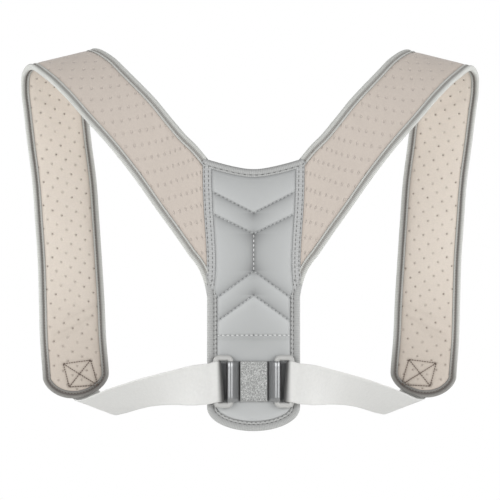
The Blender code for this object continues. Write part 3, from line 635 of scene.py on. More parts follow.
def perforated_laminate(name, settings):
    """Sueded polyester knit laminated to foam and punched with a lattice of holes.

    Dull and slightly napped, with the holes as small dimples darkened by painted shade."""
    material, tree, shader = new_material(
        name, Roughness=0.9, Sheen_Weight=0.25, Sheen_Roughness=0.5
    )
    lay = cloth_lengths(tree)
    side = node(tree, "ShaderNodeSeparateXYZ", {"Vector": lay}, output=2)
    sides = {"Value": side, "From Min": -1.0, "From Max": 1.0}
    outer = node(tree, "ShaderNodeMapRange", sides)
    inner_colour = dyed(tree, settings.lining, lay, 14.0, 0.035)
    outer_colour = dyed(tree, settings.suede, lay, 14.0, 0.035)
    both = {SHARE: outer, FIRST: inner_colour, SECOND: outer_colour}
    colour = node(tree, "ShaderNodeMix", both, **COLOUR_MIX)
    fleck = {"Vector": lay, "Scale": 1000 / 1.4, "Detail": 4.0}
    fleck = {"Value": node(tree, "ShaderNodeTexNoise", fleck), "From Min": 0.3, "From Max": 0.7}
    fleck = node(tree, "ShaderNodeMapRange", {**fleck, "To Min": 0.955, "To Max": 1.03})
    colour = node(tree, "ShaderNodeVectorMath", {0: colour, 3: fleck}, operation="SCALE")
    away = from_hole(tree, lay, outer, settings)
    radius = settings.hole_size / 2 / settings.hole_pitch
    # Painted shade inside the punched holes, fainter on the outer face and in random patches
    dark = {"Value": away, "From Min": radius * 1.25, "From Max": radius * 0.55}
    dark = node(tree, "ShaderNodeMapRange", dark, interpolation_type="SMOOTHSTEP")
    uneven = {"Vector": lay, "Scale": 1000 / 19.0, "Detail": 2.0}
    uneven = {"Value": node(tree, "ShaderNodeTexNoise", uneven), "To Min": 0.3}
    uneven = node(tree, "ShaderNodeMapRange", {**uneven, "From Min": 0.38, "From Max": 0.6})
    facing = node(tree, "ShaderNodeMapRange", {"Value": outer, "To Min": 0.85, "To Max": 0.10})
    for weaker in (uneven, facing):
        dark = node(tree, "ShaderNodeMath", {0: dark, 1: weaker}, operation="MULTIPLY")
    holes = {SHARE: dark, FIRST: colour, SECOND: rgba(settings.hole_colour)}
    # 8A7D72 is the colour of the pads' painted shade
    colour = painted_shade(tree, node(tree, "ShaderNodeMix", holes, **COLOUR_MIX), "8A7D72")
    tree.links.new(colour, shader.inputs["Base Color"])
    grained(tree, shader, lay, 0.9, 3.0, 0.16)
    dent = {"Value": away, "From Min": radius * 0.5, "From Max": radius * 2.2}
    dent = node(tree, "ShaderNodeMapRange", dent, interpolation_type="SMOOTHSTEP")
    raised(tree, shader, dent, 0.7)
    return material


def ribbed_binding(name, colour, dark):
    """Knitted elastic binding, folded over the raw edges and sewn: matte, with fine cross ribs.

    Real ribs lie 0.6 mm apart; they are drawn at 1.7 mm, coarse enough to show."""
    material, tree, shader = new_material(name, Roughness=0.8, Sheen_Weight=0.2)
    lay = cloth_lengths(tree)
    along = node(tree, "ShaderNodeSeparateXYZ", {"Vector": lay}, output=1)
    ribs = waves(tree, along, 1.7)
    # Painted shade and highlight on the ribs: the colour is made darker and lighter with them, as light
    # would fall on them
    light = {"Value": ribs, "From Min": -1.0, "To Min": 0.87, "To Max": 1.06}
    ribbed = {0: dyed(tree, colour, lay, 4.0, 0.09), 3: node(tree, "ShaderNodeMapRange", light)}
    shaded = node(tree, "ShaderNodeVectorMath", ribbed, operation="SCALE")
    # dark is the colour that the painted shade turns it to
    tree.links.new(painted_shade(tree, shaded, dark), shader.inputs["Base Color"])
    raised(tree, shader, ribs, 0.07)
    grained(tree, shader, lay, 0.7, 2.0, 0.12)
    return material


def coated_facing(name, settings):
    """Foam faced with smooth polyurethane-coated knit: soft satin, faintly grained."""
    # 58595A is the colour of the facing's painted shade
    material, tree, shader, lay = dyed_material(
        name, settings.facing, 30.0, 0.025, detail=2.0, dark="58595A",
        Roughness=0.52, Sheen_Weight=0.1, Specular_IOR_Level=0.42,
    )
    grained(tree, shader, lay, 0.8, 3.0, 0.05)
    return material


def woven_elastic(name, settings):
    """Polyester-covered rubber webbing, woven: matte near-white with fine ribs along it.

    Real ribs lie 0.7 mm apart; they are drawn at about twice that, so that they show."""
    # 1F1E1D is the colour of the webbing's painted shade
    material, tree, shader, lay = dyed_material(
        name, settings.webbing, 3.5, 0.07, detail=4.0, dark="1F1E1D",
        Roughness=0.85, Sheen_Weight=0.2,
    )
    across, along, _ = node(tree, "ShaderNodeSeparateXYZ", {"Vector": lay}).node.outputs
    ribs = waves(tree, across, settings.rib_pitch * 1000)
    picks = waves(tree, along, settings.rib_pitch * 1000 * 0.8)
    weave = node(tree, "ShaderNodeMath", {0: ribs, 1: picks}, operation="MULTIPLY")
    raised(tree, shader, weave, 0.07)
    raised(tree, shader, ribs, 0.05)
    return material


def moulded_plastic(name, settings):
    """Acetal buckle, injection moulded: satin, with a faint flow mottle."""
    material, tree, shader, place = dyed_material(
        name, settings.buckle, 6.0, 0.03, solid=True, Roughness=0.36, IOR=1.48
    )
    grained(tree, shader, place, 1.6, 2.0, 0.02)
    return material


def glossy_band(name, settings):
    """Nylon band with a metallised, lacquered face: a gunmetal gloss that turns from near white
    where it faces the lights to dark where it slopes away."""
    material, tree, shader, lay = dyed_material(
        name, settings.band, 5.0, 0.08, Metallic=1.0, Roughness=0.29
    )
    grained(tree, shader, lay, 1.2, 2.0, 0.02)
    return material


def napped_loop(name, colour):
    """Loop fabric: a brushed nylon pile of tiny loops over its ground, matte and speckled."""
    material, tree, shader, place = dyed_material(
        name, colour, 1.3, 0.22, detail=4.0, solid=True, Roughness=0.9, Sheen_Weight=0.3
    )
    grained(tree, shader, place, 1.3, 4.0, 0.6)
    return material


def hook_tape(name, settings):
    """Hook tape: a woven ground with rows of clipped nylon hooks, which catch small glints."""
    material, tree, shader, lay = dyed_material(
        name, settings.hook_tape, 2.5, 0.06, Roughness=0.55
    )
    across, along, _ = node(tree, "ShaderNodeSeparateXYZ", {"Vector": lay}).node.outputs
    rows = {0: waves(tree, across, 1.4), 1: waves(tree, along, 1.8)}
    raised(tree, shader, node(tree, "ShaderNodeMath", rows, operation="MULTIPLY"), 0.25)
    return material


def spacer_knit(name, settings):
    """Warp-knitted spacer mesh on the side that lies on the back: matte with small eyelets."""
    material, tree, shader = new_material(name, Roughness=0.9, Sheen_Weight=0.25)
    lay = cloth_lengths(tree)
    eyelets = {"Vector": lay, "Scale": 1000 / 2.6, "Randomness": 0.15}
    eyelets = node(
        tree, "ShaderNodeTexVoronoi", eyelets, output="Distance", distance="MANHATTAN"
    )
    opened = {"Value": eyelets, "From Min": 0.35, "From Max": 0.12, "To Max": 0.6}
    colours = {FIRST: dyed(tree, settings.lining, lay, 12.0, 0.03), SECOND: rgba(linear("5F6263"))}
    colours[SHARE] = node(tree, "ShaderNodeMapRange", opened)
    # 5A5C5D is the colour of the cushion's painted shade
    colour = painted_shade(tree, node(tree, "ShaderNodeMix", colours, **COLOUR_MIX), "5A5C5D")
    tree.links.new(colour, shader.inputs["Base Color"])
    raised(tree, shader, eyelets, 0.5)
    return material


def twisted_thread(name, colour):
    """Bonded polyester sewing thread: tight, with a slight sheen and its own fine twist."""
    material, tree, shader, place = dyed_material(
        name, colour, 1.5, 0.12, solid=True, Roughness=0.6, Sheen_Weight=0.2
    )
    twist = {"Vector": place, "Scale": 320.0, "Distortion": 1.5}
    twist = node(tree, "ShaderNodeTexWave", twist, output="Fac", bands_direction="DIAGONAL")
    raised(tree, shader, twist, 0.08)
    return material


def painted_board(name, colour):
    """Board painted matt white by roller: even, with no gloss and barely clouded."""
    return dyed_material(name, colour, 60.0, 0.01, solid=True, Roughness=0.9)[0]


def made_once(maker, name, *values):
    """The material of that name, made the first time that a piece asks for it."""
    return bpy.data.materials.get(name) or maker(name, *values)


# What can be set


def colour_property(label, code, description):
    """A colour that can be set, from its sRGB hex value."""
    return bpy.props.FloatVectorProperty(
        name=label, description=description, subtype="COLOR", size=3, min=0, max=1, default=linear(code)
    )


def length_property(label, metres, description):
    """A length that can be set, in metres."""
    return bpy.props.FloatProperty(
        name=label, description=description, unit="LENGTH", min=0, precision=5, default=metres
    )


def angle_property(label, degrees, description):
    """An angle that can be set, from its size in degrees."""
    return bpy.props.FloatProperty(
        name=label, description=description, subtype="ANGLE", default=math.radians(degrees)
    )


class StrapSettings(bpy.types.PropertyGroup):
    suede: colour_property("Suede", "C1B7AE", "Outer face of the padded straps")
    lining: colour_property("Lining", "DDD3C8", "Their face towards the wearer")
    # The hole colour is that of the painted shade inside the punched holes
    hole_colour: colour_property("Hole", "7F7268", "Inside of the punched holes")
    hole_pitch: length_property("Hole spacing", 11.0 * MM, "Between neighbouring punched holes")
    hole_size: length_property("Hole size", 1.9 * MM, "Diameter of a punched hole")
    hole_turn: angle_property("Inner rows' turn", 31, "Between the hole rows and the strap")
    outer_turn: angle_property("Outer rows' turn", 45, "The same on the outer face")
    loft: length_property("Loft", STRAP_THICKNESS, "Thickness of the padded strap")


class EdgeSettings(bpy.types.PropertyGroup):
    binding: colour_property("Strap binding", "C6C7C3", "Folded binding of the straps")
    panel_binding: colour_property("Panel binding", "B3B4B3", "Folded binding of the panel")
    tape: colour_property("Seam tape", "B1B2B2", "Tape over the seams beside the panel")
    pale_thread: colour_property("Pale thread", "E6E7E6", "Thread of the quilting's straight rows")
    quilting_thread: colour_property("Quilting thread", "BABCBB", "Thread of its slanted rows")
    brown_thread: colour_property("Brown thread", "65574D", "Thread of the boxed crosses")
    grey_thread: colour_property("Grey thread", "5F5F5E", "Thread of bindings and tapes")
    groove_thread: colour_property("Groove thread", "8F8881", "Thread beside the straps' edges")
    stitch_pitch: length_property("Edge stitch", 3.2 * MM, "Along the straps' bindings")
    panel_pitch: length_property("Panel stitch", 4.4 * MM, "Along the panel's bindings")


class PanelSettings(bpy.types.PropertyGroup):
    facing: colour_property("Facing", "BCBEBE", "Quilted outer face")
    lining: colour_property("Lining", "A9ACAD", "Face that lies on the back")
    loft: length_property("Pillow loft", 2.0 * MM, "How far the quilting's pillows stand out")
    stitch: length_property("Quilting stitch", 4.3 * MM, "Length of a quilting stitch")


class FasteningSettings(bpy.types.PropertyGroup):
    buckle: colour_property("Buckle", "B3B3B1", "Moulded frame buckles")
    band: colour_property("Band", "9A9B9C", "Glossy bands round the buckles' inner bars")
    patch: colour_property("Patch ground", "929392", "Ground of the napped patch")
    pile: colour_property("Patch pile", "CECFCE", "Loops of the napped patch")
    webbing: colour_property("Webbing", "D7D7D5", "Elastic side straps")
    hook_tape: colour_property("Hook tape", "C9C9C6", "Fastening behind the side straps")
    rib_pitch: length_property("Webbing rib", 1.3 * MM, "Between the ribs of the webbing")


class StageSettings(bpy.types.PropertyGroup):
    floor: colour_property("Floor", "F4F4F2", "Plain pale floor")
    floor_drop: length_property("Floor drop", 0.60, "Floor below the shoulders")
    camera_distance: length_property("Camera distance", 1.639, "From the look-at point")
    camera_height: bpy.props.FloatProperty(
        name="Camera height", description="Of the look-at point", unit="LENGTH", default=-0.1962
    )
    camera_turn: angle_property("Camera turn", -1.5, "Off straight behind the wearer")
    lens: bpy.props.FloatProperty(
        name="Lens", description="Focal length", unit="CAMERA", default=111.34
    )
    world_light: bpy.props.FloatProperty(
        name="Room light", description="Soft, all round", subtype="FACTOR", default=0.44
    )
    front_light: bpy.props.FloatProperty(
        name="Front lights", description="Each", unit="POWER", default=22.8
    )
    side_light: bpy.props.FloatProperty(
        name="Side lights", description="Each", unit="POWER", default=9.0
    )


SETTINGS = {
    "corrector_strap": StrapSettings,
    "corrector_edge": EdgeSettings,
    "corrector_panel": PanelSettings,
    "corrector_fastening": FasteningSettings,
    "corrector_stage": StageSettings,
}


# Padded shoulder straps

# Boxed cross where the webbing is sewn on: mm from the strap's tip, mm from its middle line
CROSS_CORNERS = ((39.4, -16.2), (37.3, 12.6), (12.8, 8.0), (11.8, -22.0))
OUTER_CORNERS = ((39.0, -15.5), (38.0, 13.0), (13.5, 9.5), (13.5, -16.0))  # on the webbing
CROSS_LINES = ((0, 1), (1, 2), (2, 3), (3, 0), (0, 2), (1, 3))
CROSS_DENT = (1.5, 0.5, 0.35)  # how soft and how deep in mm its rows press in, and how dark their painted shade is
# Soft creases on the inner face: mm from the tip and from the middle, twice, then depth
CREASES = (
    (86, -22, 68, 18, 0.45),
    (98, -24, 84, 8, 0.32),
    (76, -10, 60, 22, 0.30),
    (300, -20, 318, 20, 0.25),
)
CREASE_DENT = (2.2, 0.25)  # how soft they are in mm, and how dark their painted shade is at a depth of 1 mm
PAD_INSET = 3.0 * MM  # how far the pad stays inside the strap's edge, within the binding
TIP_INSET = 2.9 * MM  # and at its tip
SEAM_PINCH = 4.1 * MM  # how far from the seam the tape holds the pad down
PAD_SWELL = (5.0 * MM, 24 * MM)  # how far in it is nearly full, and quite full
# Painted shade towards the pad's tip: how dark it is, and where it starts and ends in mm from the tip
TIP_SHADE, TIP_SHADE_FROM, TIP_SHADE_TO = 0.34, 170, 10
# Painted shade at its inner edge: how dark it is, how far in it holds, and how far it fades
LIP_SHADE, LIP_SHADE_HOLD, LIP_SHADE_FADE = 0.3, 8 * MM, 4 * MM


def line_distance(first, second, start, stop):
    """Distance of flat points from a straight piece, and how far along it they lie."""
    start, stop = np.array(start, float), np.array(stop, float)
    way = stop - start
    length = np.linalg.norm(way)
    way = way / length
    along = np.clip((first - start[0]) * way[0] + (second - start[1]) * way[1], 0, length)
    gap = np.hypot(first - start[0] - along * way[0], second - start[1] - along * way[1])
    return gap, along


def strap_grid():
    """Run and share of the pad's grid, from the seam to the rounded end."""
    straight = STRAP_LENGTH - STRAP_END
    tip = STRAP_LENGTH - TIP_INSET
    # Its rows lie close beside the seam, then evenly, then close up again towards the tip
    seam = np.concatenate([[0.15, 0.6], np.arange(1.2, 18.0, 0.6)]) * MM
    body = np.arange(18.4 * MM, straight, 1.5 * MM)
    end = straight + (tip - straight) * np.sin(np.linspace(0, math.pi / 2, 30)) ** 0.9
    run = np.concatenate([seam, body, end])
    stretched = straight + (run - straight) * STRAP_END / (tip - straight)
    half = np.linspace(0, math.pi / 2, 200)
    low = np.where(run > straight, np.interp(stretched, *strap_end(half)), 0.0)
    high = np.where(run > straight, np.interp(stretched, *strap_end(math.pi - half)), 1.0)
    inset = PAD_INSET / strap_width(run)
    fade = np.clip((high - low) * 2, 0, 1)
    low, high = low + inset * fade, high - inset * fade
    column = 0.5 - 0.5 * np.cos(np.linspace(0, math.pi, 52))
    share = low[:, None] + (high - low)[:, None] * column[None]
    return np.broadcast_to(run[:, None], share.shape), share


def swelling(free, shoulder, crown):
    """Rise of a padded body, 0 to 1, by its distance from where it is pinched.

    Four fifths of it come in a quarter circle within the shoulder, the rest by the crown."""
    return 0.8 * rounded(free / shoulder) + 0.2 * (1 - (1 - np.clip(free / crown, 0, 1)) ** 2)


def pad_loft(middle, full):
    """Half the pad's thickness: pinched in the binding and at the seam, crowned between."""
    beside = distance(SEAM_TREE, middle) - SEAM_PINCH
    free = np.minimum(distance(EDGE_TREE, middle) - STRAP_LIP * MM, beside)
    pinch = EDGE_THICKNESS / 2
    rise = swelling(free, *PAD_SWELL)
    return pinch + (full / 2 - pinch) * rise, np.clip(free / (3 * MM), 0, 1)


def pressed_in(from_tip, across, open_share):
    """What creases and cross stitching do to the inner face: dents in metres, and painted shade in
    them.
    """
    dent, shade = np.zeros_like(across), np.zeros_like(across)
    soft, dark = CREASE_DENT
    for *ends, depth in CREASES:
        gap, _ = line_distance(from_tip, across, ends[:2], ends[2:])
        valley = np.exp(-((gap / soft) ** 2)) * depth
        dent = dent + valley * MM * open_share
        shade = np.maximum(shade, valley * dark)
    soft, depth, dark = CROSS_DENT
    for a, b in CROSS_LINES:
        gap, _ = line_distance(from_tip, across, CROSS_CORNERS[a], CROSS_CORNERS[b])
        valley = np.exp(-((gap / soft) ** 2))
        dent = dent + valley * depth * MM
        shade = np.maximum(shade, valley * dark)
    return dent, shade


def deeper(shade, more):
    """A shade with another one over it."""
    return shade + (1 - shade) * more


class CORRECTOR_OT_pads(bpy.types.Operator):
    """Make the padded, perforated shoulder straps"""

    bl_idname = "corrector.pads"
    bl_label = "Shoulder pads"

    def execute(self, context):
        settings = context.scene.corrector_strap
        material = made_once(perforated_laminate, "perforated_suede_laminate", settings)
        run, share = strap_grid()
        middle, normal = strap_point(run, share), strap_normal(run, share)
        half, open_share = pad_loft(middle, settings.loft)
        half = half + open_share * uneven(middle, 34, 0.22)
        from_tip = (STRAP_LENGTH - run) * 1000
        across = (share - 0.5) * strap_width(run)
        dent, inner_shade = pressed_in(from_tip, across * 1000, open_share)
        inner = half + open_share * uneven(middle, 16, 0.16, seed=7.0) - dent
        outer = half + open_share * uneven(middle, 18, 0.14, seed=3.0)
        points, faces = slab(
            middle + normal * outer[..., None], middle - normal * inner[..., None]
        )
        lay = points_at(across, run, 1.0)  # its third value tells the outer face from the inner
        # Painted shade: towards its tip and its inner edge the chest side is darkened as if turned away
        # from the light
        reached = (TIP_SHADE_FROM - from_tip) / (TIP_SHADE_FROM - TIP_SHADE_TO)
        inner_shade = deeper(inner_shade, TIP_SHADE * ease(reached))
        from_lip = np.clip(share * strap_width(run) - LIP_SHADE_HOLD, 0, None)
        turned = LIP_SHADE * np.exp(-from_lip / LIP_SHADE_FADE)
        turned = turned * ease(middle[..., 1] / (20 * MM))  # on the chest side only
        inner_shade = deeper(inner_shade, turned)
        # Painted shade on both faces where the pad dips into the binding
        edge_shade = (1 - open_share) * 0.2
        pair = both_sides(
            "shoulder_pad", points, faces, material, "shoulder_strap", "strap_laminate",
            lay=np.concatenate([lay, lay * [1, 1, -1]]),
            shade=np.concatenate([edge_shade, np.maximum(edge_shade, inner_shade)]),
        )
        return {"FINISHED"}


# Bindings


def edge_profile(rows, outer_shade):
    """The binding's closed outline across: inset, height and painted shade, nose to slot and back."""
    upper = np.array(rows) * [MM, MM, 1]
    lower = upper[:0:-1] * [1, -1, 1]
    upper[1:, 2] *= outer_shade
    floor, gap = EDGE_SLOT[0] * MM, EDGE_SLOT[1] * MM
    last = upper[-1, 0]
    slot = [(last, gap, 1), (floor, gap, 1), (floor, -gap, 1), (last, -gap, 1)]
    return np.concatenate([upper, slot, lower])


def swept_edge(part, rows, overlap=0.0, outer_shade=1.0):
    """Points, faces, lengths and painted shade of one stretch of binding."""
    places, normals, inward, run = EDGE.stretch(*EDGE_PARTS[part], 2 * MM)
    profile = edge_profile(rows, outer_shade)
    places[0] += unit(places[0] - places[1]) * overlap
    places[-1] += unit(places[-1] - places[-2]) * overlap
    grid = (
        places[:, None]
        + inward[:, None] * profile[None, :, 0:1]
        + normals[:, None] * profile[None, :, 1:2]
    )
    grid = grid + normals[:, None] * uneven(grid, 9, 0.10, seed=5.0)[..., None]
    around = lengths_along(profile[:, :2])
    # Painted shade: on the chest the last 80 mm of the binding are darkened as if turned away from the
    # light
    near_tip = ease((80 * MM - FRONT_LENGTH - places[:, 2]) / (75 * MM)) * (places[:, 1] > 0)
    shade = deeper(profile[None, :, 2], 0.6 * near_tip[:, None])
    return grid, tube(grid), points_at(around[None], run[:, None], 0.0), shade


def binding_row(part, inset, height, pitch, share):
    """A row of stitches on a binding: mm in from its nose and mm off its middle."""
    places, normals, inward, _ = EDGE.stretch(*EDGE_PARTS[part], MM)
    chain = places + inward * inset * MM + normals * height * MM
    return sewn_along(chain, normals * np.sign(height), pitch, share)


class CORRECTOR_OT_bindings(bpy.types.Operator):
    """Make the folded bindings of the neckline, the panel and both straps"""

    bl_idname = "corrector.bindings"
    bl_label = "Edge bindings"

    def execute(self, context):
        settings = context.scene.corrector_edge
        # The dark colours given here, 4A4A4A and 4E4743 below, are those of the bindings' painted shade
        panel = made_once(ribbed_binding, "panel_binding", settings.panel_binding, "4A4A4A")
        for part, name, rows in (
            ("neck", "neckline", NECK_EDGE_ROWS),
            ("panel", "panel", PANEL_EDGE_ROWS),
        ):
            points, faces, lay, shade = swept_edge(part, rows, overlap=0.4 * MM)
            made = add_mesh(f"{name}_edging", points, faces, panel, lay, shade)
            stands_for(f"{name}_binding")
        strap = made_once(ribbed_binding, "strap_binding", settings.binding, "4E4743")
        points, faces, lay, shade = swept_edge("strap", STRAP_EDGE_ROWS, outer_shade=0.65)
        both_sides(
            "strap_edging", points, faces, strap, "strap_binding", "binding", lay=lay, shade=shade
        )
        return {"FINISHED"}


# Quilted panel


def facing_edges(top_inset, foot_inset):
    """The panel's outline moved inwards: its top and its foot, as (across, height) rows."""
    top = (EDGE.points + EDGE.inward * top_inset)[: EDGE.start + 30][:, [0, 2]]
    foot = (EDGE.points + EDGE.inward * foot_inset)[EDGE.stop : EDGE.half][:, [0, 2]]
    return top, foot[np.argsort(foot[:, 0])]


def facing_half(height, side_inset, tape_inset):
    """From the spine out to the seam, or to the binding below it."""
    seam = strap_point(0.0, np.linspace(0, 1, 80))
    beside = np.interp(-height, -seam[:, 2], seam[:, 0]) - tape_inset
    above_seam = np.clip((height - seam[-1, 2]) / (25 * MM), 0, 1) * 12 * MM
    return np.minimum(beside, PANEL_HALF - side_inset + above_seam)


def panel_grid(columns, rows_per_band, top_inset, edge_inset, tape_inset):
    """Across and height of the panel's grid, its rows packed closer beside the quilting."""
    aside = np.abs(columns)
    top_edge, foot_edge = facing_edges(top_inset, edge_inset)
    top = np.full(len(columns), -NECK_DROP)
    for _ in range(4):
        x = columns * facing_half(top, edge_inset, tape_inset)
        top = np.interp(np.abs(x), top_edge[:, 0], top_edge[:, 1])
    lines = [top]
    for spine, side in QUILT_ROWS:
        lines.append(-NECK_DROP - PANEL_HEIGHT * (spine + (side - spine) * aside))
    foot_x = facing_half(PANEL_FOOT, edge_inset, tape_inset) * np.sin(aside * math.pi / 2)
    foot = np.interp(foot_x, foot_edge[:, 0], foot_edge[:, 1])
    lines.append(foot)
    xs, zs = [], []
    for band, (above, below) in enumerate(zip(lines, lines[1:])):
        last = band == len(lines) - 2
        count = rows_per_band[band]
        t = np.linspace(0, 1, count + 1)
        t = t - np.sin(2 * math.pi * t) / (2 * math.pi) * 0.6
        for share in t if last else t[:-1]:
            z = above + (below - above) * share
            x = columns * facing_half(z, edge_inset, tape_inset)
            if last:
                blend = share**2
                x = x * (1 - blend) + np.sign(columns) * foot_x * blend
            xs.append(x)
            zs.append(z)
    return np.array(xs), np.array(zs)


ROW_INSETS = (4.6, 4.6, 9.6, 9.6, 9.6)  # mm that each stitched row stops inside the panel's side


def quilt_line(row, side):
    """The two ends of half a stitched row, at the spine and at its side, (across, height)."""
    spine, aside = QUILT_ROWS[row]
    out = side * (PANEL_HALF - ROW_INSETS[row] * MM)
    return (0.0, -NECK_DROP - PANEL_HEIGHT * spine), (out, -NECK_DROP - PANEL_HEIGHT * aside)


# Above and below each row: how soft its groove is in mm, then how dark its painted shade is; last, how
# deep it is
QUILT_GROOVES = (
    (1.6, 5.5, 0.00, 0.44, 1.0),
    (1.6, 6.0, 0.00, 0.46, 1.0),
    (6.0, 1.6, 0.35, 0.00, 1.0),
    (5.5, 1.6, 0.35, 0.00, 1.0),
    (1.8, 1.8, 0.05, 0.14, 0.45),
)
SPINE_GROOVE = (4.5, 4.5, 0.0, 0.0, 1.3)
SPINE_SHADES = ((0.52, 3.2), (0.22, 28))  # how dark the painted shade beside the spine is, and over how many mm that fades
ROW_SHADE = 6.5  # mm over which the painted shade beside a slanted row fades
NEEDLE_LINE = (0.16, 0.7)  # how dark the painted shade along the line of stitches is, and how wide in mm
CREST_REACH = 9  # mm over which the painted highlight on the crest beside a row fades
LOWER_PART = 0.42  # share of the panel's height below which it has more painted shade
# The facing, from the panel's middle: its inner side, its rim, its rise from that, how wide the
# rim is, and how much higher it is along the neck and how far down that fades
FACING_BACK, FACING_RIM, FACING_RISE, RIM_WIDTH = 1.9 * MM, 2.0 * MM, 1.35 * MM, 4.0 * MM
NECK_RIM, NECK_FADE = 0.95 * MM, 3 * MM
# The cushion behind it: the same, then how far in it is nearly full and quite full
CUSHION_BACK, CUSHION_RIM, CUSHION_LOFT = 1.2 * MM, 1.45 * MM, 2.4 * MM
CUSHION_SWELL = (4.5 * MM, 22 * MM)


def quilt_lines():
    """Every stitched piece: its two ends and its groove."""
    pieces = []
    for row, groove in enumerate(QUILT_GROOVES):
        for side in (-1, 1):
            pieces.append((*quilt_line(row, side), groove))
    top, foot = quilt_line(1, 1)[0], quilt_line(2, 1)[0]
    pieces.append((top, foot, SPINE_GROOVE))
    return pieces


QUILTING = quilt_lines()


def valleys(x, z):
    """What the stitched rows do to the facing: its rise, the light that its painted shade leaves, and
    its crests' painted highlights.
    """
    pillow, light, painted_crest_light = np.ones_like(x), np.ones_like(x), np.zeros_like(x)
    needle_dark, needle_width = NEEDLE_LINE
    for start, stop, (above, below, dark_above, dark_below, depth) in QUILTING:
        gap, _ = line_distance(x, z, start, stop)
        upright = start[0] == stop[0]
        over = z > (-np.inf if upright else np.interp(x, *zip(*sorted([start, stop]))))
        valley = np.exp(-gap / (np.where(over, above, below) * MM * 0.55)) * depth
        pillow = pillow * (1 - np.clip(valley, 0, 1))
        # Painted shade beside each row, and a painted highlight on the crest on the side that has none
        if upright:
            dark = sum(share * np.exp(-gap / (reach * MM)) for share, reach in SPINE_SHADES)
        else:
            broad = np.where(over, dark_above, dark_below)
            dark = broad * np.exp(-gap / (ROW_SHADE * MM))
            dark = dark + needle_dark * np.exp(-((gap / (needle_width * MM)) ** 2))
            bright = np.where(broad < 0.1, np.exp(-gap / (CREST_REACH * MM)), 0)
            painted_crest_light = np.maximum(painted_crest_light, bright * (depth > 0.5))
        light = light * (1 - dark)
    return pillow, light, painted_crest_light


def facing_border(x, z, places):
    """How far inside the bindings' lips and the tapes' middles a place on the facing is."""
    beside = facing_half(z, PANEL_LIP * MM, TAPE_WIDTH / 2) - np.abs(x)
    below_seam = ease((strap_point(0.0, 1.0)[2] - z) / (8 * MM))
    lip = (NECK_LIP + (PANEL_LIP - NECK_LIP) * below_seam) * MM
    return np.minimum(beside, distance(EDGE_TREE, places) - lip)


def facing_surface(x, z, loft):
    """How far the facing stands out from the panel's middle, and how dark its painted shade is."""
    places = points_at(x, -BACK_DEPTH, z)
    border = facing_border(x, z, places)
    from_neck = np.clip(neckline(x) - z - NECK_LIP * MM, 0, None)
    pillow, light, painted_crest_light = valleys(x, z)
    # Below its last row the facing lies nearly flat, and its lower part has more painted shade
    flat = ease((-NECK_DROP - PANEL_HEIGHT * QUILT_ROWS[-1][0] - z) / (6 * MM))
    lower = ease((-NECK_DROP - PANEL_HEIGHT * LOWER_PART - z) / (25 * MM))
    # Painted shade below the neck's binding
    light = light * (1 - 0.38 * np.exp(-from_neck / (14 * MM)))
    # A light painted shade all over, weaker towards the border and on the crests' painted highlights,
    # and stronger on the lower part
    edge_light = 1 - 0.8 * np.exp(-border / (6 * MM))
    light = light * (1 - (0.12 + 0.12 * lower) * (1 - painted_crest_light) * edge_light)
    height = loft * pillow * (1 - 0.65 * flat)
    soft_waves = uneven(places, 24, 0.12, seed=2.0) + uneven(places, 9, 0.05, seed=8.0)
    swell = FACING_RISE + height + soft_waves * (1 - 0.6 * flat)
    rim = FACING_RIM + NECK_RIM * np.exp(-from_neck / NECK_FADE)
    return rim + swell * rounded(border / RIM_WIDTH), np.clip(1 - light, 0, 1)


def quilt_places(loft, pitch):
    """Rows of quilting stitches on the facing, and the needle holes between them."""
    rows, holes = [], []
    for start, stop, _ in QUILTING:
        start, stop = np.array(start), np.array(stop)
        length = math.dist(start, stop)
        count = round(length / pitch)
        x, z = (start + (stop - start) * np.linspace(0, 1, 4 * count + 1)[:, None]).T
        out, _ = facing_surface(x, z, loft)
        chain = points_at(x, -BACK_DEPTH - out, z)
        rows.append(sewn_along(chain, facing_out(chain), length / count, 0.66))
        holes += [(x[k], z[k], *((stop - start) / length)) for k in range(0, len(chain), 4)]
    return rows, np.array(holes)


# A needle's pit: how wide it is along its row and across it, its depth, and how dark its painted shade
# is
PIT_ALONG, PIT_ACROSS, PIT_DEPTH, PIT_DARK = 0.55 * MM, 0.95 * MM, 0.6 * MM, 0.88


def pierced(x, z, out, fold, holes):
    """The facing with a pit at each needle hole, longer across its row than along it, and painted shade
    in the pit.
    """
    for hole_x, hole_z, way_x, way_z in holes:
        along = (x - hole_x) * way_x + (z - hole_z) * way_z
        across = (z - hole_z) * way_x - (x - hole_x) * way_z
        pit = np.exp(-((along / PIT_ALONG) ** 2) - (across / PIT_ACROSS) ** 2)
        out = out - pit * PIT_DEPTH
        fold = np.maximum(fold, pit * PIT_DARK)
    return out, fold


def panel_slab(x, z, front, back):
    """Points, faces and lengths of a piece of the panel between two depths from its middle."""
    lay = points_at(x, z, 0.0)
    front, back = (points_at(x, depth - BACK_DEPTH, z) for depth in (front, back))
    return *slab(front, back), np.concatenate([lay, lay])


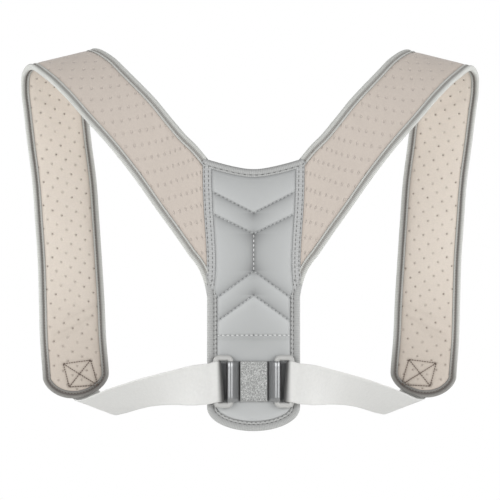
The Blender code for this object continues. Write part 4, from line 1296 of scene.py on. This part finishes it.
class CORRECTOR_OT_panel(bpy.types.Operator):
    """Make the quilted facing with its stitching, and the padded panel behind it"""

    bl_idname = "corrector.panel"
    bl_label = "Quilted panel"

    def execute(self, context):
        self.make_facing(context.scene.corrector_panel, context.scene.corrector_edge)
        self.make_cushion(context.scene.corrector_panel)
        return {"FINISHED"}

    def make_facing(self, settings, threads):
        """The outer skin, pressed in along its stitching, and the stitches."""
        material = made_once(coated_facing, "coated_knit_facing", settings)
        insets = (NECK_LIP * MM, PANEL_LIP * MM, TAPE_WIDTH / 2 - 1.2 * MM)
        x, z = panel_grid(np.linspace(-1, 1, 151), (38, 30, 48, 32, 26, 64), *insets)
        # fold holds the facing's painted shade
        out, fold = facing_surface(x, z, settings.loft)
        rows, holes = quilt_places(settings.loft, settings.stitch)
        out, fold = pierced(x, z, out, fold, holes)
        # Painted shade at the knots at the straight row's ends, and a painted shadow on the facing
        # behind the buckles
        knot_x, knot_z = quilt_line(4, 1)[1]
        knot = np.exp(-(np.hypot(np.abs(x) - knot_x, z - knot_z) / (1.1 * MM)) ** 2)
        behind = ease((0.5 * WEBBING_WIDTH - np.abs(z - BUCKLE_LEVEL)) / (3 * MM))
        behind = behind * np.exp(-(((np.abs(x) - 30 * MM) / (7 * MM)) ** 4))
        fold = np.maximum(fold, np.maximum(knot, behind * 0.96))
        points, faces, lay = panel_slab(x, z, -out, -FACING_BACK)
        shade = np.concatenate([fold, fold * 0])
        made = add_mesh("panel_facing", points, faces, material, lay, shade)
        stands_for("quilted_facing")
        thread = made_once(twisted_thread, "quilting_thread", threads.quilting_thread)
        slanted, straight = rows[:8], rows[8:]
        sewn = stitches(slanted, 0.30 * MM, "quilting_thread", thread, skew=math.radians(22))
        thread = made_once(twisted_thread, "pale_thread", threads.pale_thread)
        sewn = stitches(straight, 0.38 * MM, "straight_thread", thread)

    def make_cushion(self, settings):
        """The padded body, seen from the wearer's side between the bindings."""
        material = made_once(spacer_knit, "spacer_knit", settings)
        insets = (3.2 * MM, 3.2 * MM, 0.2 * MM)
        x, z = panel_grid(np.linspace(-1, 1, 61), (14, 12, 20, 14, 12, 40), *insets)
        places = points_at(x, -BACK_DEPTH, z)
        beside = facing_half(z, 0.0, 0.0) - np.abs(x)
        free = np.minimum(distance(EDGE_TREE, places) - STRAP_LIP * MM, beside)
        inside = np.clip(free / CUSHION_SWELL[0], 0, 1)
        swell = CUSHION_RIM + CUSHION_LOFT * swelling(free, *CUSHION_SWELL)
        swell = swell + uneven(places, 20, 0.10, seed=4.0) * inside
        points, faces, lay = panel_slab(x, z, swell, -CUSHION_BACK)
        faces = [face[::-1] for face in faces]
        # Painted shade towards the cushion's rim, under the bindings
        shade = np.concatenate([(1 - inside) * 0.4, x * 0])
        made = add_mesh("panel_cushion", points, faces, material, lay, shade)
        stands_for("back_panel")


# Seam tapes

# Across a tape, from the panel to the strap: mm from the seam, mm off the middle, painted shade
TAPE_ROWS = (
    (-4.35, 2.05, 0.5), (-4.25, 2.75, 0.25), (-3.6, 3.10, 0.0), (-2.2, 3.12, 0.0),
    (-1.3, 2.98, 0.15), (-0.5, 3.12, 0.0), (1.0, 3.15, 0.0), (2.0, 3.08, 0.0),
    (2.7, 2.85, 0.3), (3.4, 2.98, 0.0), (4.2, 2.75, 0.1), (4.35, 1.90, 0.6),
)
TAPE_HALF = TAPE_ROWS[-1][0]
TAPE_UNDERSIDE = ((3.6, 0.0, -3.6), 1.7)  # mm from the seam, then its height
TAPE_STITCHES = (-1.3, 2.7)  # mm from the seam


def tape_point(share, off, height):
    """A point over the seam: share down it, mm across it and mm off its middle.

    At its foot the tape narrows with the strap and dips under the panel's binding."""
    seam = strap_point(0.0, share)
    down = unit(np.gradient(seam, axis=0))
    outward = np.stack([-down[:, 2], down[:, 1], down[:, 0]], axis=1)
    if off > 0:
        off = off * np.minimum(1, (38 * (1 - share) + 0.2) / TAPE_HALF)
    drop = 0.35 * np.clip(off / TAPE_HALF, 0, 1) ** 2  # the strap already bends away there
    dip = 0.7 * ease((share - 0.925) / 0.05)
    across = outward * np.broadcast_to(off, share.shape)[:, None] * MM
    return seam + across + PANEL_FACING * ((height - drop - dip) * MM)[:, None]


class CORRECTOR_OT_tapes(bpy.types.Operator):
    """Make the tapes over the seams between panel and straps"""

    bl_idname = "corrector.tapes"
    bl_label = "Seam tapes"

    def execute(self, context):
        tape = context.scene.corrector_edge.tape
        # 5B5856 is the colour of the tape's painted shade
        material = made_once(ribbed_binding, "knitted_tape", tape, "5B5856")
        share = np.linspace(0.045, 0.985, 94)
        offs, under = TAPE_UNDERSIDE
        rows = [tape_point(share, off, height) for off, height, _ in TAPE_ROWS]
        grid = np.stack(rows + [tape_point(share, off, under) for off in offs], axis=1)
        lay = points_at(lengths_along(grid[0])[None], lengths_along(grid[:, 5])[:, None], 0.0)
        # Painted shade of each row, full on the hidden underside
        shade = np.array([crease for _, _, crease in TAPE_ROWS] + [1.0] * len(offs))
        shade = np.broadcast_to(shade[None], grid.shape[:2])
        both_sides(
            "seam_strip", grid, tube(grid), material, "seam_tape", "binding", lay=lay, shade=shade
        )
        return {"FINISHED"}


# Buckles, bands and patch


def buckle_middle():
    """Middle of the right buckle."""
    return np.array([BUCKLE_SPREAD / 2, -BUCKLE_FACE, BUCKLE_LEVEL])


def buckle_bar(side):
    """Middle of a buckle's upright bar: side +1 is the outer one, -1 the inner."""
    return buckle_middle() + np.array([side * (BUCKLE_WIDTH - BUCKLE_BAR) / 2, 0, 0])


class CORRECTOR_OT_buckles(bpy.types.Operator):
    """Make the moulded frame buckles"""

    bl_idname = "corrector.buckles"
    bl_label = "Frame buckles"

    def execute(self, context):
        settings = context.scene.corrector_fastening
        material = made_once(moulded_plastic, "moulded_acetal", settings)
        half_w = (BUCKLE_WIDTH - BUCKLE_BAR) / 2
        half_h = WEBBING_WIDTH / 2 + WEBBING_SLACK + BUCKLE_BAR / 2
        angles = np.linspace(0, 2 * math.pi, 24, endpoint=False)
        parting = 1 + 0.035 * np.exp(-((np.sin(angles) / 0.10) ** 2))  # the mould's parting line
        rings = []
        for sx, sz, first in ((1, 1, 0), (-1, 1, 90), (-1, -1, 180), (1, -1, 270)):
            hub = np.array([sx * (half_w - BUCKLE_CORNER), 0.0, sz * (half_h - BUCKLE_CORNER)])
            for angle in np.radians(np.linspace(first, first + 90, 11)):
                out = np.array([math.cos(angle), 0.0, math.sin(angle)])
                ring = np.outer(np.cos(angles) * parting, out)
                ring[:, 1] += np.sin(angles)
                at = buckle_middle() + (hub + out * BUCKLE_CORNER)
                rings.append(at + ring * BUCKLE_BAR / 2)
        count = len(rings) * len(angles)
        faces = quads(len(rings) + 1, len(angles), wrap=True)
        faces = [tuple(i % count for i in face) for face in faces]
        both_sides("frame_buckle", np.array(rings), faces, material, "ring", "buckle")
        return {"FINISHED"}


def strip(edges, thickness, columns=9, rim=0.3 * MM):
    """A strip of webbing's width through pairs of edge points, its edges rounded.

    Gives its points, faces and lay, and the running length at each pair."""
    side = edges[:, 1] - edges[:, 0]
    middle = edges.mean(axis=1)
    normal = unit(np.cross(side, np.gradient(middle, axis=0)))[:, None]
    width = np.linalg.norm(side, axis=1)[:, None]
    near = rim / (40 * MM)
    share = np.concatenate([[0.0, near], np.linspace(0, 1, columns)[1:-1], [1 - near, 1.0]])
    place = edges[:, :1] + side[:, None] * share[None, :, None]
    gap = np.minimum(share, 1 - share)[None] * width
    thick = normal * (thickness / 2 * np.maximum(rounded(gap / rim), 0.3))[..., None]
    run = lengths_along(middle)
    lay = points_at(share[None] * WEBBING_WIDTH, run[:, None], 0.0)
    return *slab(place + thick, place - thick), np.concatenate([lay, lay]), run


BAND_DEPTH = 0.0742  # from the origin back to the band's layer on the panel
BAND_START = 0.6 * MM  # how far from the spine each band ends, under the patch
BAND_WRAP = (-96, 124)  # degrees round the bar between which the band lies on it
BAND_RISE = 0.06  # share of its slope on which it lifts off the panel
PATCH_ROUND = 1.2 * MM
PILE = (800, 1.9 * MM, 0.2 * MM, 1.6)  # loops, their length and radius, and how deep they sit


class CORRECTOR_OT_bands(bpy.types.Operator):
    """Make the glossy bands that hold the buckles, and the napped patch over their ends"""

    bl_idname = "corrector.bands"
    bl_label = "Bands and patch"

    def execute(self, context):
        settings = context.scene.corrector_fastening
        material = made_once(glossy_band, "metallised_nylon_band", settings)
        bar = buckle_bar(-1)
        radius = BUCKLE_BAR / 2 + CLEARANCE + LOOP_FABRIC / 2
        upper = -BAND_DEPTH - LOOP_FABRIC - CLEARANCE
        edge = PATCH_WIDTH / 2
        path = [(x, -BAND_DEPTH) for x in (BAND_START, edge * 0.5, edge + CLEARANCE)]
        for angle in np.radians(np.linspace(*BAND_WRAP, 34)):
            path.append((bar[0] + radius * math.cos(angle), bar[1] - radius * math.sin(angle)))
        foot = (edge + CLEARANCE, upper)
        slope = [(path[-1][k] - foot[k]) * BAND_RISE + foot[k] for k in (0, 1)]
        path += [slope, foot, (edge * 0.5, upper), (BAND_START, upper)]
        top, low = (BUCKLE_LEVEL + side * WEBBING_WIDTH / 2 for side in (1, -1))
        edges = np.array([((x, y, top), (x, y, low)) for x, y in path])
        points, faces, lay, run = strip(edges, LOOP_FABRIC)
        pair = both_sides(
            "buckle_band", points, faces, material, "ring_loop", "loop_band", lay=lay
        )
        self.make_patch(settings)
        return {"FINISHED"}

    def make_patch(self, settings):
        """A napped patch: a slightly uneven ground set with a random pile of loops."""
        material = made_once(napped_loop, "loop_ground", settings.patch)
        x = np.linspace(-1, 1, 45)[None, :] * PATCH_WIDTH / 2
        z = np.linspace(1, -1, 65)[:, None] * WEBBING_WIDTH / 2
        x, z = np.broadcast_arrays(x, z)
        inset = np.minimum(PATCH_WIDTH / 2 - np.abs(x), WEBBING_WIDTH / 2 - np.abs(z))
        round_off = rounded(inset / PATCH_ROUND)
        places = points_at(x, 0.0, z)
        nap = uneven(places, 1.7, 0.22, seed=1.0) + uneven(places, 4, 0.15, seed=6.0)
        rise = (0.35 + 0.65 * round_off) * PATCH_THICKNESS + nap * round_off
        front = points_at(x, -PATCH_BASE - rise, z + BUCKLE_LEVEL)
        back = points_at(x, -PATCH_BASE, z + BUCKLE_LEVEL)
        made = add_mesh("loop_patch", *slab(front, back), material)
        stands_for("centre_patch")
        material = made_once(napped_loop, "brushed_loop", settings.pile)
        count, length, radius, sink = PILE
        random = np.random.default_rng(41)
        tuft_x = random.uniform(-0.47, 0.47, count) * PATCH_WIDTH
        tuft_z = random.uniform(-0.48, 0.48, count) * WEBBING_WIDTH + BUCKLE_LEVEL
        turn = random.uniform(0, 2 * math.pi, count)
        place = points_at(tuft_x, -PATCH_BASE - PATCH_THICKNESS, tuft_z)
        way = points_at(np.cos(turn), 0.0, np.sin(turn))
        row = (place, way, facing_out(place), length)
        loops = stitches([row], radius, "patch_pile", material, sides=5, sink=sink)


# Elastic side straps


def elastic_rows():
    """The right elastic strap's middle line and way across, from its sewn end to the buckle."""
    rows = []
    for run in STRAP_LENGTH - SEWN_LENGTH * np.array(SEWN_SHARES):
        across = unit(strap_point(run, 0.0) - strap_point(run, 1.0))
        middle = strap_point(run, 0.5) + strap_normal(run, 0.5) * STRAP_OVERLAY
        rows.append((*middle, *across))
    tip = strap_point(STRAP_LENGTH, 0.5) + strap_normal(STRAP_LENGTH, 0.5) * STRAP_OVERLAY
    bar = buckle_bar(1) + (0, -(BUCKLE_BAR / 2 + CLEARANCE + WEBBING_THICKNESS / 2), 0)
    for inward, back, sag, turn, lean in ELASTIC_ROWS:
        middle = (
            tip[0] + (bar[0] - tip[0]) * inward,
            tip[1] + (bar[1] - tip[1]) * back,
            tip[2] + (bar[2] - tip[2]) * inward - sag * WEBBING_WIDTH,
        )
        rows.append((*middle, *(way_across(turn, lean) * (-1, -1, 1))))
    rows.append((*bar, 0.0, 0.0, -1.0))
    return np.array(rows)


def elastic_edges(runs, offset):
    """Edge pairs of the elastic strap at these runs, moved off it towards the wearer."""
    rows = elastic_rows()
    knots = lengths_along(rows[:, :3])
    values = smooth(knots, rows, runs)
    middle, across = values[:, :3], unit(values[:, 3:])
    before, after = smooth(knots, rows, runs - MM), smooth(knots, rows, runs + MM)
    normal = unit(np.cross(across, (after - before)[:, :3])) * np.asarray(offset)[:, None]
    half = across * WEBBING_WIDTH / 2
    return np.stack([middle - half + normal, middle + half + normal], axis=1)


def hidden_layer(runs, offset):
    """The same, slid across itself so that it lies level with the layer in front of it."""
    edges, front = elastic_edges(runs, offset), elastic_edges(runs, runs * 0)
    across = unit(edges[:, 1] - edges[:, 0])
    slide = (front[:, 0, 2] - edges[:, 0, 2]) / np.minimum(across[:, 2], -0.3)
    return edges + (across * slide[:, None])[:, None]


FOLD_SLACK = (0.3, 3.4)  # mm that the fold stands off the bar, at its upper and lower edge
FOLD_POWER = 1.5  # 1 is a round fold, more slants it into the buckle
TAB_INSET = 1.5 * MM  # how far inside the webbing's edges the tabs lie


class CORRECTOR_OT_webbing(bpy.types.Operator):
    """Make the elastic side straps, folded through the buckles, and their hook tabs"""

    bl_idname = "corrector.webbing"
    bl_label = "Elastic straps"

    def execute(self, context):
        settings = context.scene.corrector_fastening
        length = lengths_along(elastic_rows()[:, :3])[-1]
        wrap = BUCKLE_BAR / 2 + CLEARANCE + WEBBING_THICKNESS / 2
        layered = WEBBING_THICKNESS + 2 * CLEARANCE + TAB_THICKNESS
        self.make_webbing(settings, length, wrap, layered)
        self.make_tabs(settings, length, layered)
        return {"FINISHED"}

    def make_webbing(self, settings, length, wrap, layered):
        """Each strap in one piece: sewn end, run to the buckle, fold and returned layer."""
        material = made_once(woven_elastic, "woven_elastic", settings)
        runs = np.linspace(0, length, round(length / (1.6 * MM)))
        front = elastic_edges(runs, runs * 0)
        bar = buckle_bar(1)
        half = np.array([0, 0, WEBBING_WIDTH / 2])
        folded = []
        for angle in np.radians(np.linspace(90, -90, 25)[1:]):
            inwards = -(math.cos(angle) ** FOLD_POWER)
            deep = -math.copysign(abs(math.sin(angle)) ** FOLD_POWER, angle) * wrap
            upper, lower = (bar + (inwards * (wrap + s * MM), deep, 0.0) for s in FOLD_SLACK)
            folded.append((upper + half, lower - half))
        back_runs = length - np.linspace(0, RETURN_LENGTH, 50)[1:]
        closing = ease((length - back_runs) / RETURN_CLOSING)
        back = hidden_layer(back_runs, 2 * wrap + (layered - 2 * wrap) * closing)
        edges = np.concatenate([front, np.array(folded), back])
        points, faces, lay, run = strip(edges, WEBBING_THICKNESS, columns=23, rim=0.6 * MM)
        # Painted shade where it turns into the buckle, taken off again behind the bar
        behind_bar = run[len(front) + len(folded) - 1]
        deep = ease((run - length - 0.8 * MM) / (6 * MM)) * 0.92
        deep = deep * (1 - ease((run - behind_bar) / (5 * MM)))
        shade = np.broadcast_to(np.tile(deep, 2)[:, None], lay.shape[:2])
        pair = both_sides(
            "elastic_webbing", points, faces, material, "elastic_strap", "elastic",
            lay=lay, shade=shade,
        )

    def make_tabs(self, settings, length, layered):
        """The hook tabs between the webbing's two layers, a little narrower than it."""
        material = made_once(hook_tape, "nylon_hook_tape", settings)
        runs = length - RETURN_LENGTH + np.linspace(CLEARANCE, TAB_LENGTH, 20)
        edges = hidden_layer(runs, np.full(20, layered / 2))
        shift = unit(edges[:, 1] - edges[:, 0])[:, None] * TAB_INSET
        edges = edges + np.concatenate([shift, -shift], axis=1)
        points, faces, lay, _ = strip(edges, TAB_THICKNESS)
        pair = both_sides(
            "hook_fastening", points, faces, material, "hook_tab", "hook_tape", lay=lay
        )


# Sewing


# Rows on the panel's bindings: which stretch, mm in from its nose and mm off its middle
PANEL_SEAMS = (("neck", 5.9, 2.90), ("panel", 6.75, 2.66), ("panel", 8.75, 3.06))
NECK_PITCH = 5.6 * MM


def both(rows):
    """Sewn rows with their mirror images."""
    return rows + [(*map(mirrored, row[:3]), row[3]) for row in rows]


class CORRECTOR_OT_sewing(bpy.types.Operator):
    """Sew the bindings, the tapes, the patch and the boxed crosses"""

    bl_idname = "corrector.sewing"
    bl_label = "Sewing"

    def execute(self, context):
        settings = context.scene.corrector_edge
        pitch = settings.panel_pitch
        strap = [
            binding_row("strap", 5.5, height, settings.stitch_pitch, 0.62) for height in (2.0, -1.9)
        ]
        panel = [
            binding_row(part, inset, side * height, NECK_PITCH if part == "neck" else pitch, 0.5)
            for part, inset, height in PANEL_SEAMS
            for side in (1, -1)
        ]
        share = np.linspace(0.05, 0.93, 200)
        chains = [tape_point(share, off, 2.95) for off in TAPE_STITCHES]
        tapes = [sewn_along(chain, facing_out(chain), pitch) for chain in chains]
        x = np.linspace(-PATCH_WIDTH / 2 + MM, PATCH_WIDTH / 2 - MM, 60)
        level = BUCKLE_LEVEL - WEBBING_WIDTH / 2 + 2.0 * MM
        depth = -PATCH_BASE - PATCH_THICKNESS - 0.15 * MM
        chain = points_at(x, depth, level)
        patch = [sewn_along(chain, facing_out(chain), 2.6 * MM, 0.55)]
        crosses = both(self.crosses(context))
        for name, rows, radius, sides, thread, slot in (
            ("strap_edge_thread", both(strap), 0.32, 5, "groove_thread", "binding"),
            ("panel_edge_thread", panel, 0.40, 6, "grey_thread", "binding"),
            ("tape_thread", both(tapes), 0.32, 6, "grey_thread", "binding"),
            ("cross_thread", crosses, 0.52, 5, "brown_thread", "strap_laminate"),
            ("patch_thread", patch, 0.34, 6, "grey_thread", "patch"),
        ):
            material = made_once(twisted_thread, thread, getattr(settings, thread))
            stitches(rows, radius * MM, name, material, sides=sides)
        return {"FINISHED"}

    def crosses(self, context):
        """The boxed crosses through strap and webbing, as they show on both faces."""
        inside = context.scene.corrector_strap.loft / 2 - 0.38 * MM
        outside = STRAP_OVERLAY + WEBBING_THICKNESS / 2
        rows = []
        for corners, facing, height in ((CROSS_CORNERS, -1, inside), (OUTER_CORNERS, 1, outside)):
            for a, b in CROSS_LINES:
                start, stop = np.array(corners[a]), np.array(corners[b])
                line = start + (stop - start) * np.linspace(0, 1, 40)[:, None]
                run = STRAP_LENGTH - line[:, 0] * MM
                share = 0.5 + line[:, 1] * MM / strap_width(run)
                normal = strap_normal(run, share) * facing
                chain = strap_point(run, share) + normal * height
                rows.append(sewn_along(chain, normal, 2.5 * MM, 0.86))
        return rows


# Floor, light and camera


def pointed(made, place, target):
    """Puts a camera or light at a place and turns it to a target."""
    made.location = place
    made.rotation_euler = (Vector(target) - Vector(place)).to_track_quat("-Z", "Y").to_euler()
    bpy.context.scene.collection.objects.link(made)
    return made


def soft_box(name, place, target, size, watts):
    """A rectangular area light."""
    light = bpy.data.lights.new(name, "AREA")
    light.shape = "RECTANGLE"
    light.size, light.size_y = size
    light.energy = watts
    return pointed(bpy.data.objects.new(name, light), place, target)


FLOOR_RADIUS = 0.85
ROOM_BELOW, ROOM_ABOVE = 1.3, 0.72  # how strong the room's light is from below and above
CAMERA_DEPTH = 0.064  # how far in front of the origin the look-at point lies


class CORRECTOR_OT_stage(bpy.types.Operator):
    """Make the plain floor, the studio light and the camera"""

    bl_idname = "corrector.stage"
    bl_label = "Stage"

    def execute(self, context):
        settings = context.scene.corrector_stage
        scene = context.scene
        self.make_floor(scene, settings)
        self.make_world(scene, settings)
        middle = (0.0, 0.0, settings.camera_height)
        for side, name in ((-1, "left"), (1, "right")):
            place = (side * 1.31, -1.68, 0.15)
            soft_box(f"front_box_{name}", place, middle, (1.9, 1.3), settings.front_light)
            place = (side * 1.25, 0.42, -0.1)
            soft_box(f"side_box_{name}", place, middle, (0.4, 1.2), settings.side_light)
        self.make_camera(scene, settings)
        scene.view_settings.view_transform = "Standard"
        return {"FINISHED"}

    def make_floor(self, scene, settings):
        """A plain round floor, wide enough to lie under the whole piece."""
        angles = np.linspace(0, 2 * math.pi, 96, endpoint=False)
        ring = np.stack([np.cos(angles), np.sin(angles), angles * 0], axis=1) * FLOOR_RADIUS
        ring[:, 2] = -settings.floor_drop
        mesh = bpy.data.meshes.new("floor")
        mesh.from_pydata(ring.tolist(), [], [tuple(range(len(ring)))])
        mesh.materials.append(made_once(painted_board, "painted_board", settings.floor))
        floor = bpy.data.objects.new("floor", mesh)
        scene.collection.objects.link(floor)

    def make_world(self, scene, settings):
        """White to the eye, and a softer white as light."""
        world = bpy.data.worlds.new("studio")
        world.use_nodes = True
        tree = world.node_tree
        tree.nodes.clear()
        seen = node(tree, "ShaderNodeLightPath", output="Is Camera Ray")
        way = node(tree, "ShaderNodeTexCoord", output="Generated")
        height = node(tree, "ShaderNodeSeparateXYZ", {"Vector": way}, output=2)
        room = {"Value": height, "From Min": -1.0, "From Max": 1.0}
        room["To Min"] = settings.world_light * ROOM_BELOW
        room["To Max"] = settings.world_light * ROOM_ABOVE
        room = node(tree, "ShaderNodeMapRange", room)
        strength = node(tree, "ShaderNodeMix", {0: seen, 2: room, 3: 1.0})
        light = {"Color": (1.0, 1.0, 1.0, 1.0), "Strength": strength}
        light = node(tree, "ShaderNodeBackground", light)
        node(tree, "ShaderNodeOutputWorld", {"Surface": light})
        scene.world = world

    def make_camera(self, scene, settings):
        """At the photograph's angle, straight behind the wearer."""
        camera = bpy.data.cameras.new("camera")
        camera.sensor_width = 36.0
        camera.lens = settings.lens
        target = Vector((0.0, CAMERA_DEPTH, settings.camera_height))
        back = Vector((math.sin(settings.camera_turn), -math.cos(settings.camera_turn), 0.0))
        made = bpy.data.objects.new("camera", camera)
        scene.camera = pointed(made, target + back * settings.camera_distance, target)


# The add-on's panel and registration

OPERATORS = (
    CORRECTOR_OT_stage,
    CORRECTOR_OT_pads,
    CORRECTOR_OT_bindings,
    CORRECTOR_OT_panel,
    CORRECTOR_OT_tapes,
    CORRECTOR_OT_buckles,
    CORRECTOR_OT_bands,
    CORRECTOR_OT_webbing,
    CORRECTOR_OT_sewing,
)


class CORRECTOR_PT_sidebar(bpy.types.Panel):
    bl_idname = "CORRECTOR_PT_sidebar"
    bl_label = "Posture corrector"
    bl_space_type = "VIEW_3D"
    bl_region_type = "UI"
    bl_category = "Posture corrector"

    def draw(self, context):
        for group in SETTINGS:
            box = self.layout.box()
            owner = getattr(context.scene, group)
            for name in SETTINGS[group].__annotations__:
                box.prop(owner, name)
        for operator in OPERATORS:
            self.layout.operator(operator.bl_idname)


def register():
    for cls in (*SETTINGS.values(), *OPERATORS, CORRECTOR_PT_sidebar):
        bpy.utils.register_class(cls)
    for name, cls in SETTINGS.items():
        setattr(bpy.types.Scene, name, bpy.props.PointerProperty(type=cls))


def unregister():
    for name in SETTINGS:
        delattr(bpy.types.Scene, name)
    for cls in reversed((*SETTINGS.values(), *OPERATORS, CORRECTOR_PT_sidebar)):
        bpy.utils.unregister_class(cls)


def main():
    register()
    for operator in OPERATORS:
        group, name = operator.bl_idname.split(".")
        getattr(getattr(bpy.ops, group), name)()


if __name__ == "__main__":
    main()
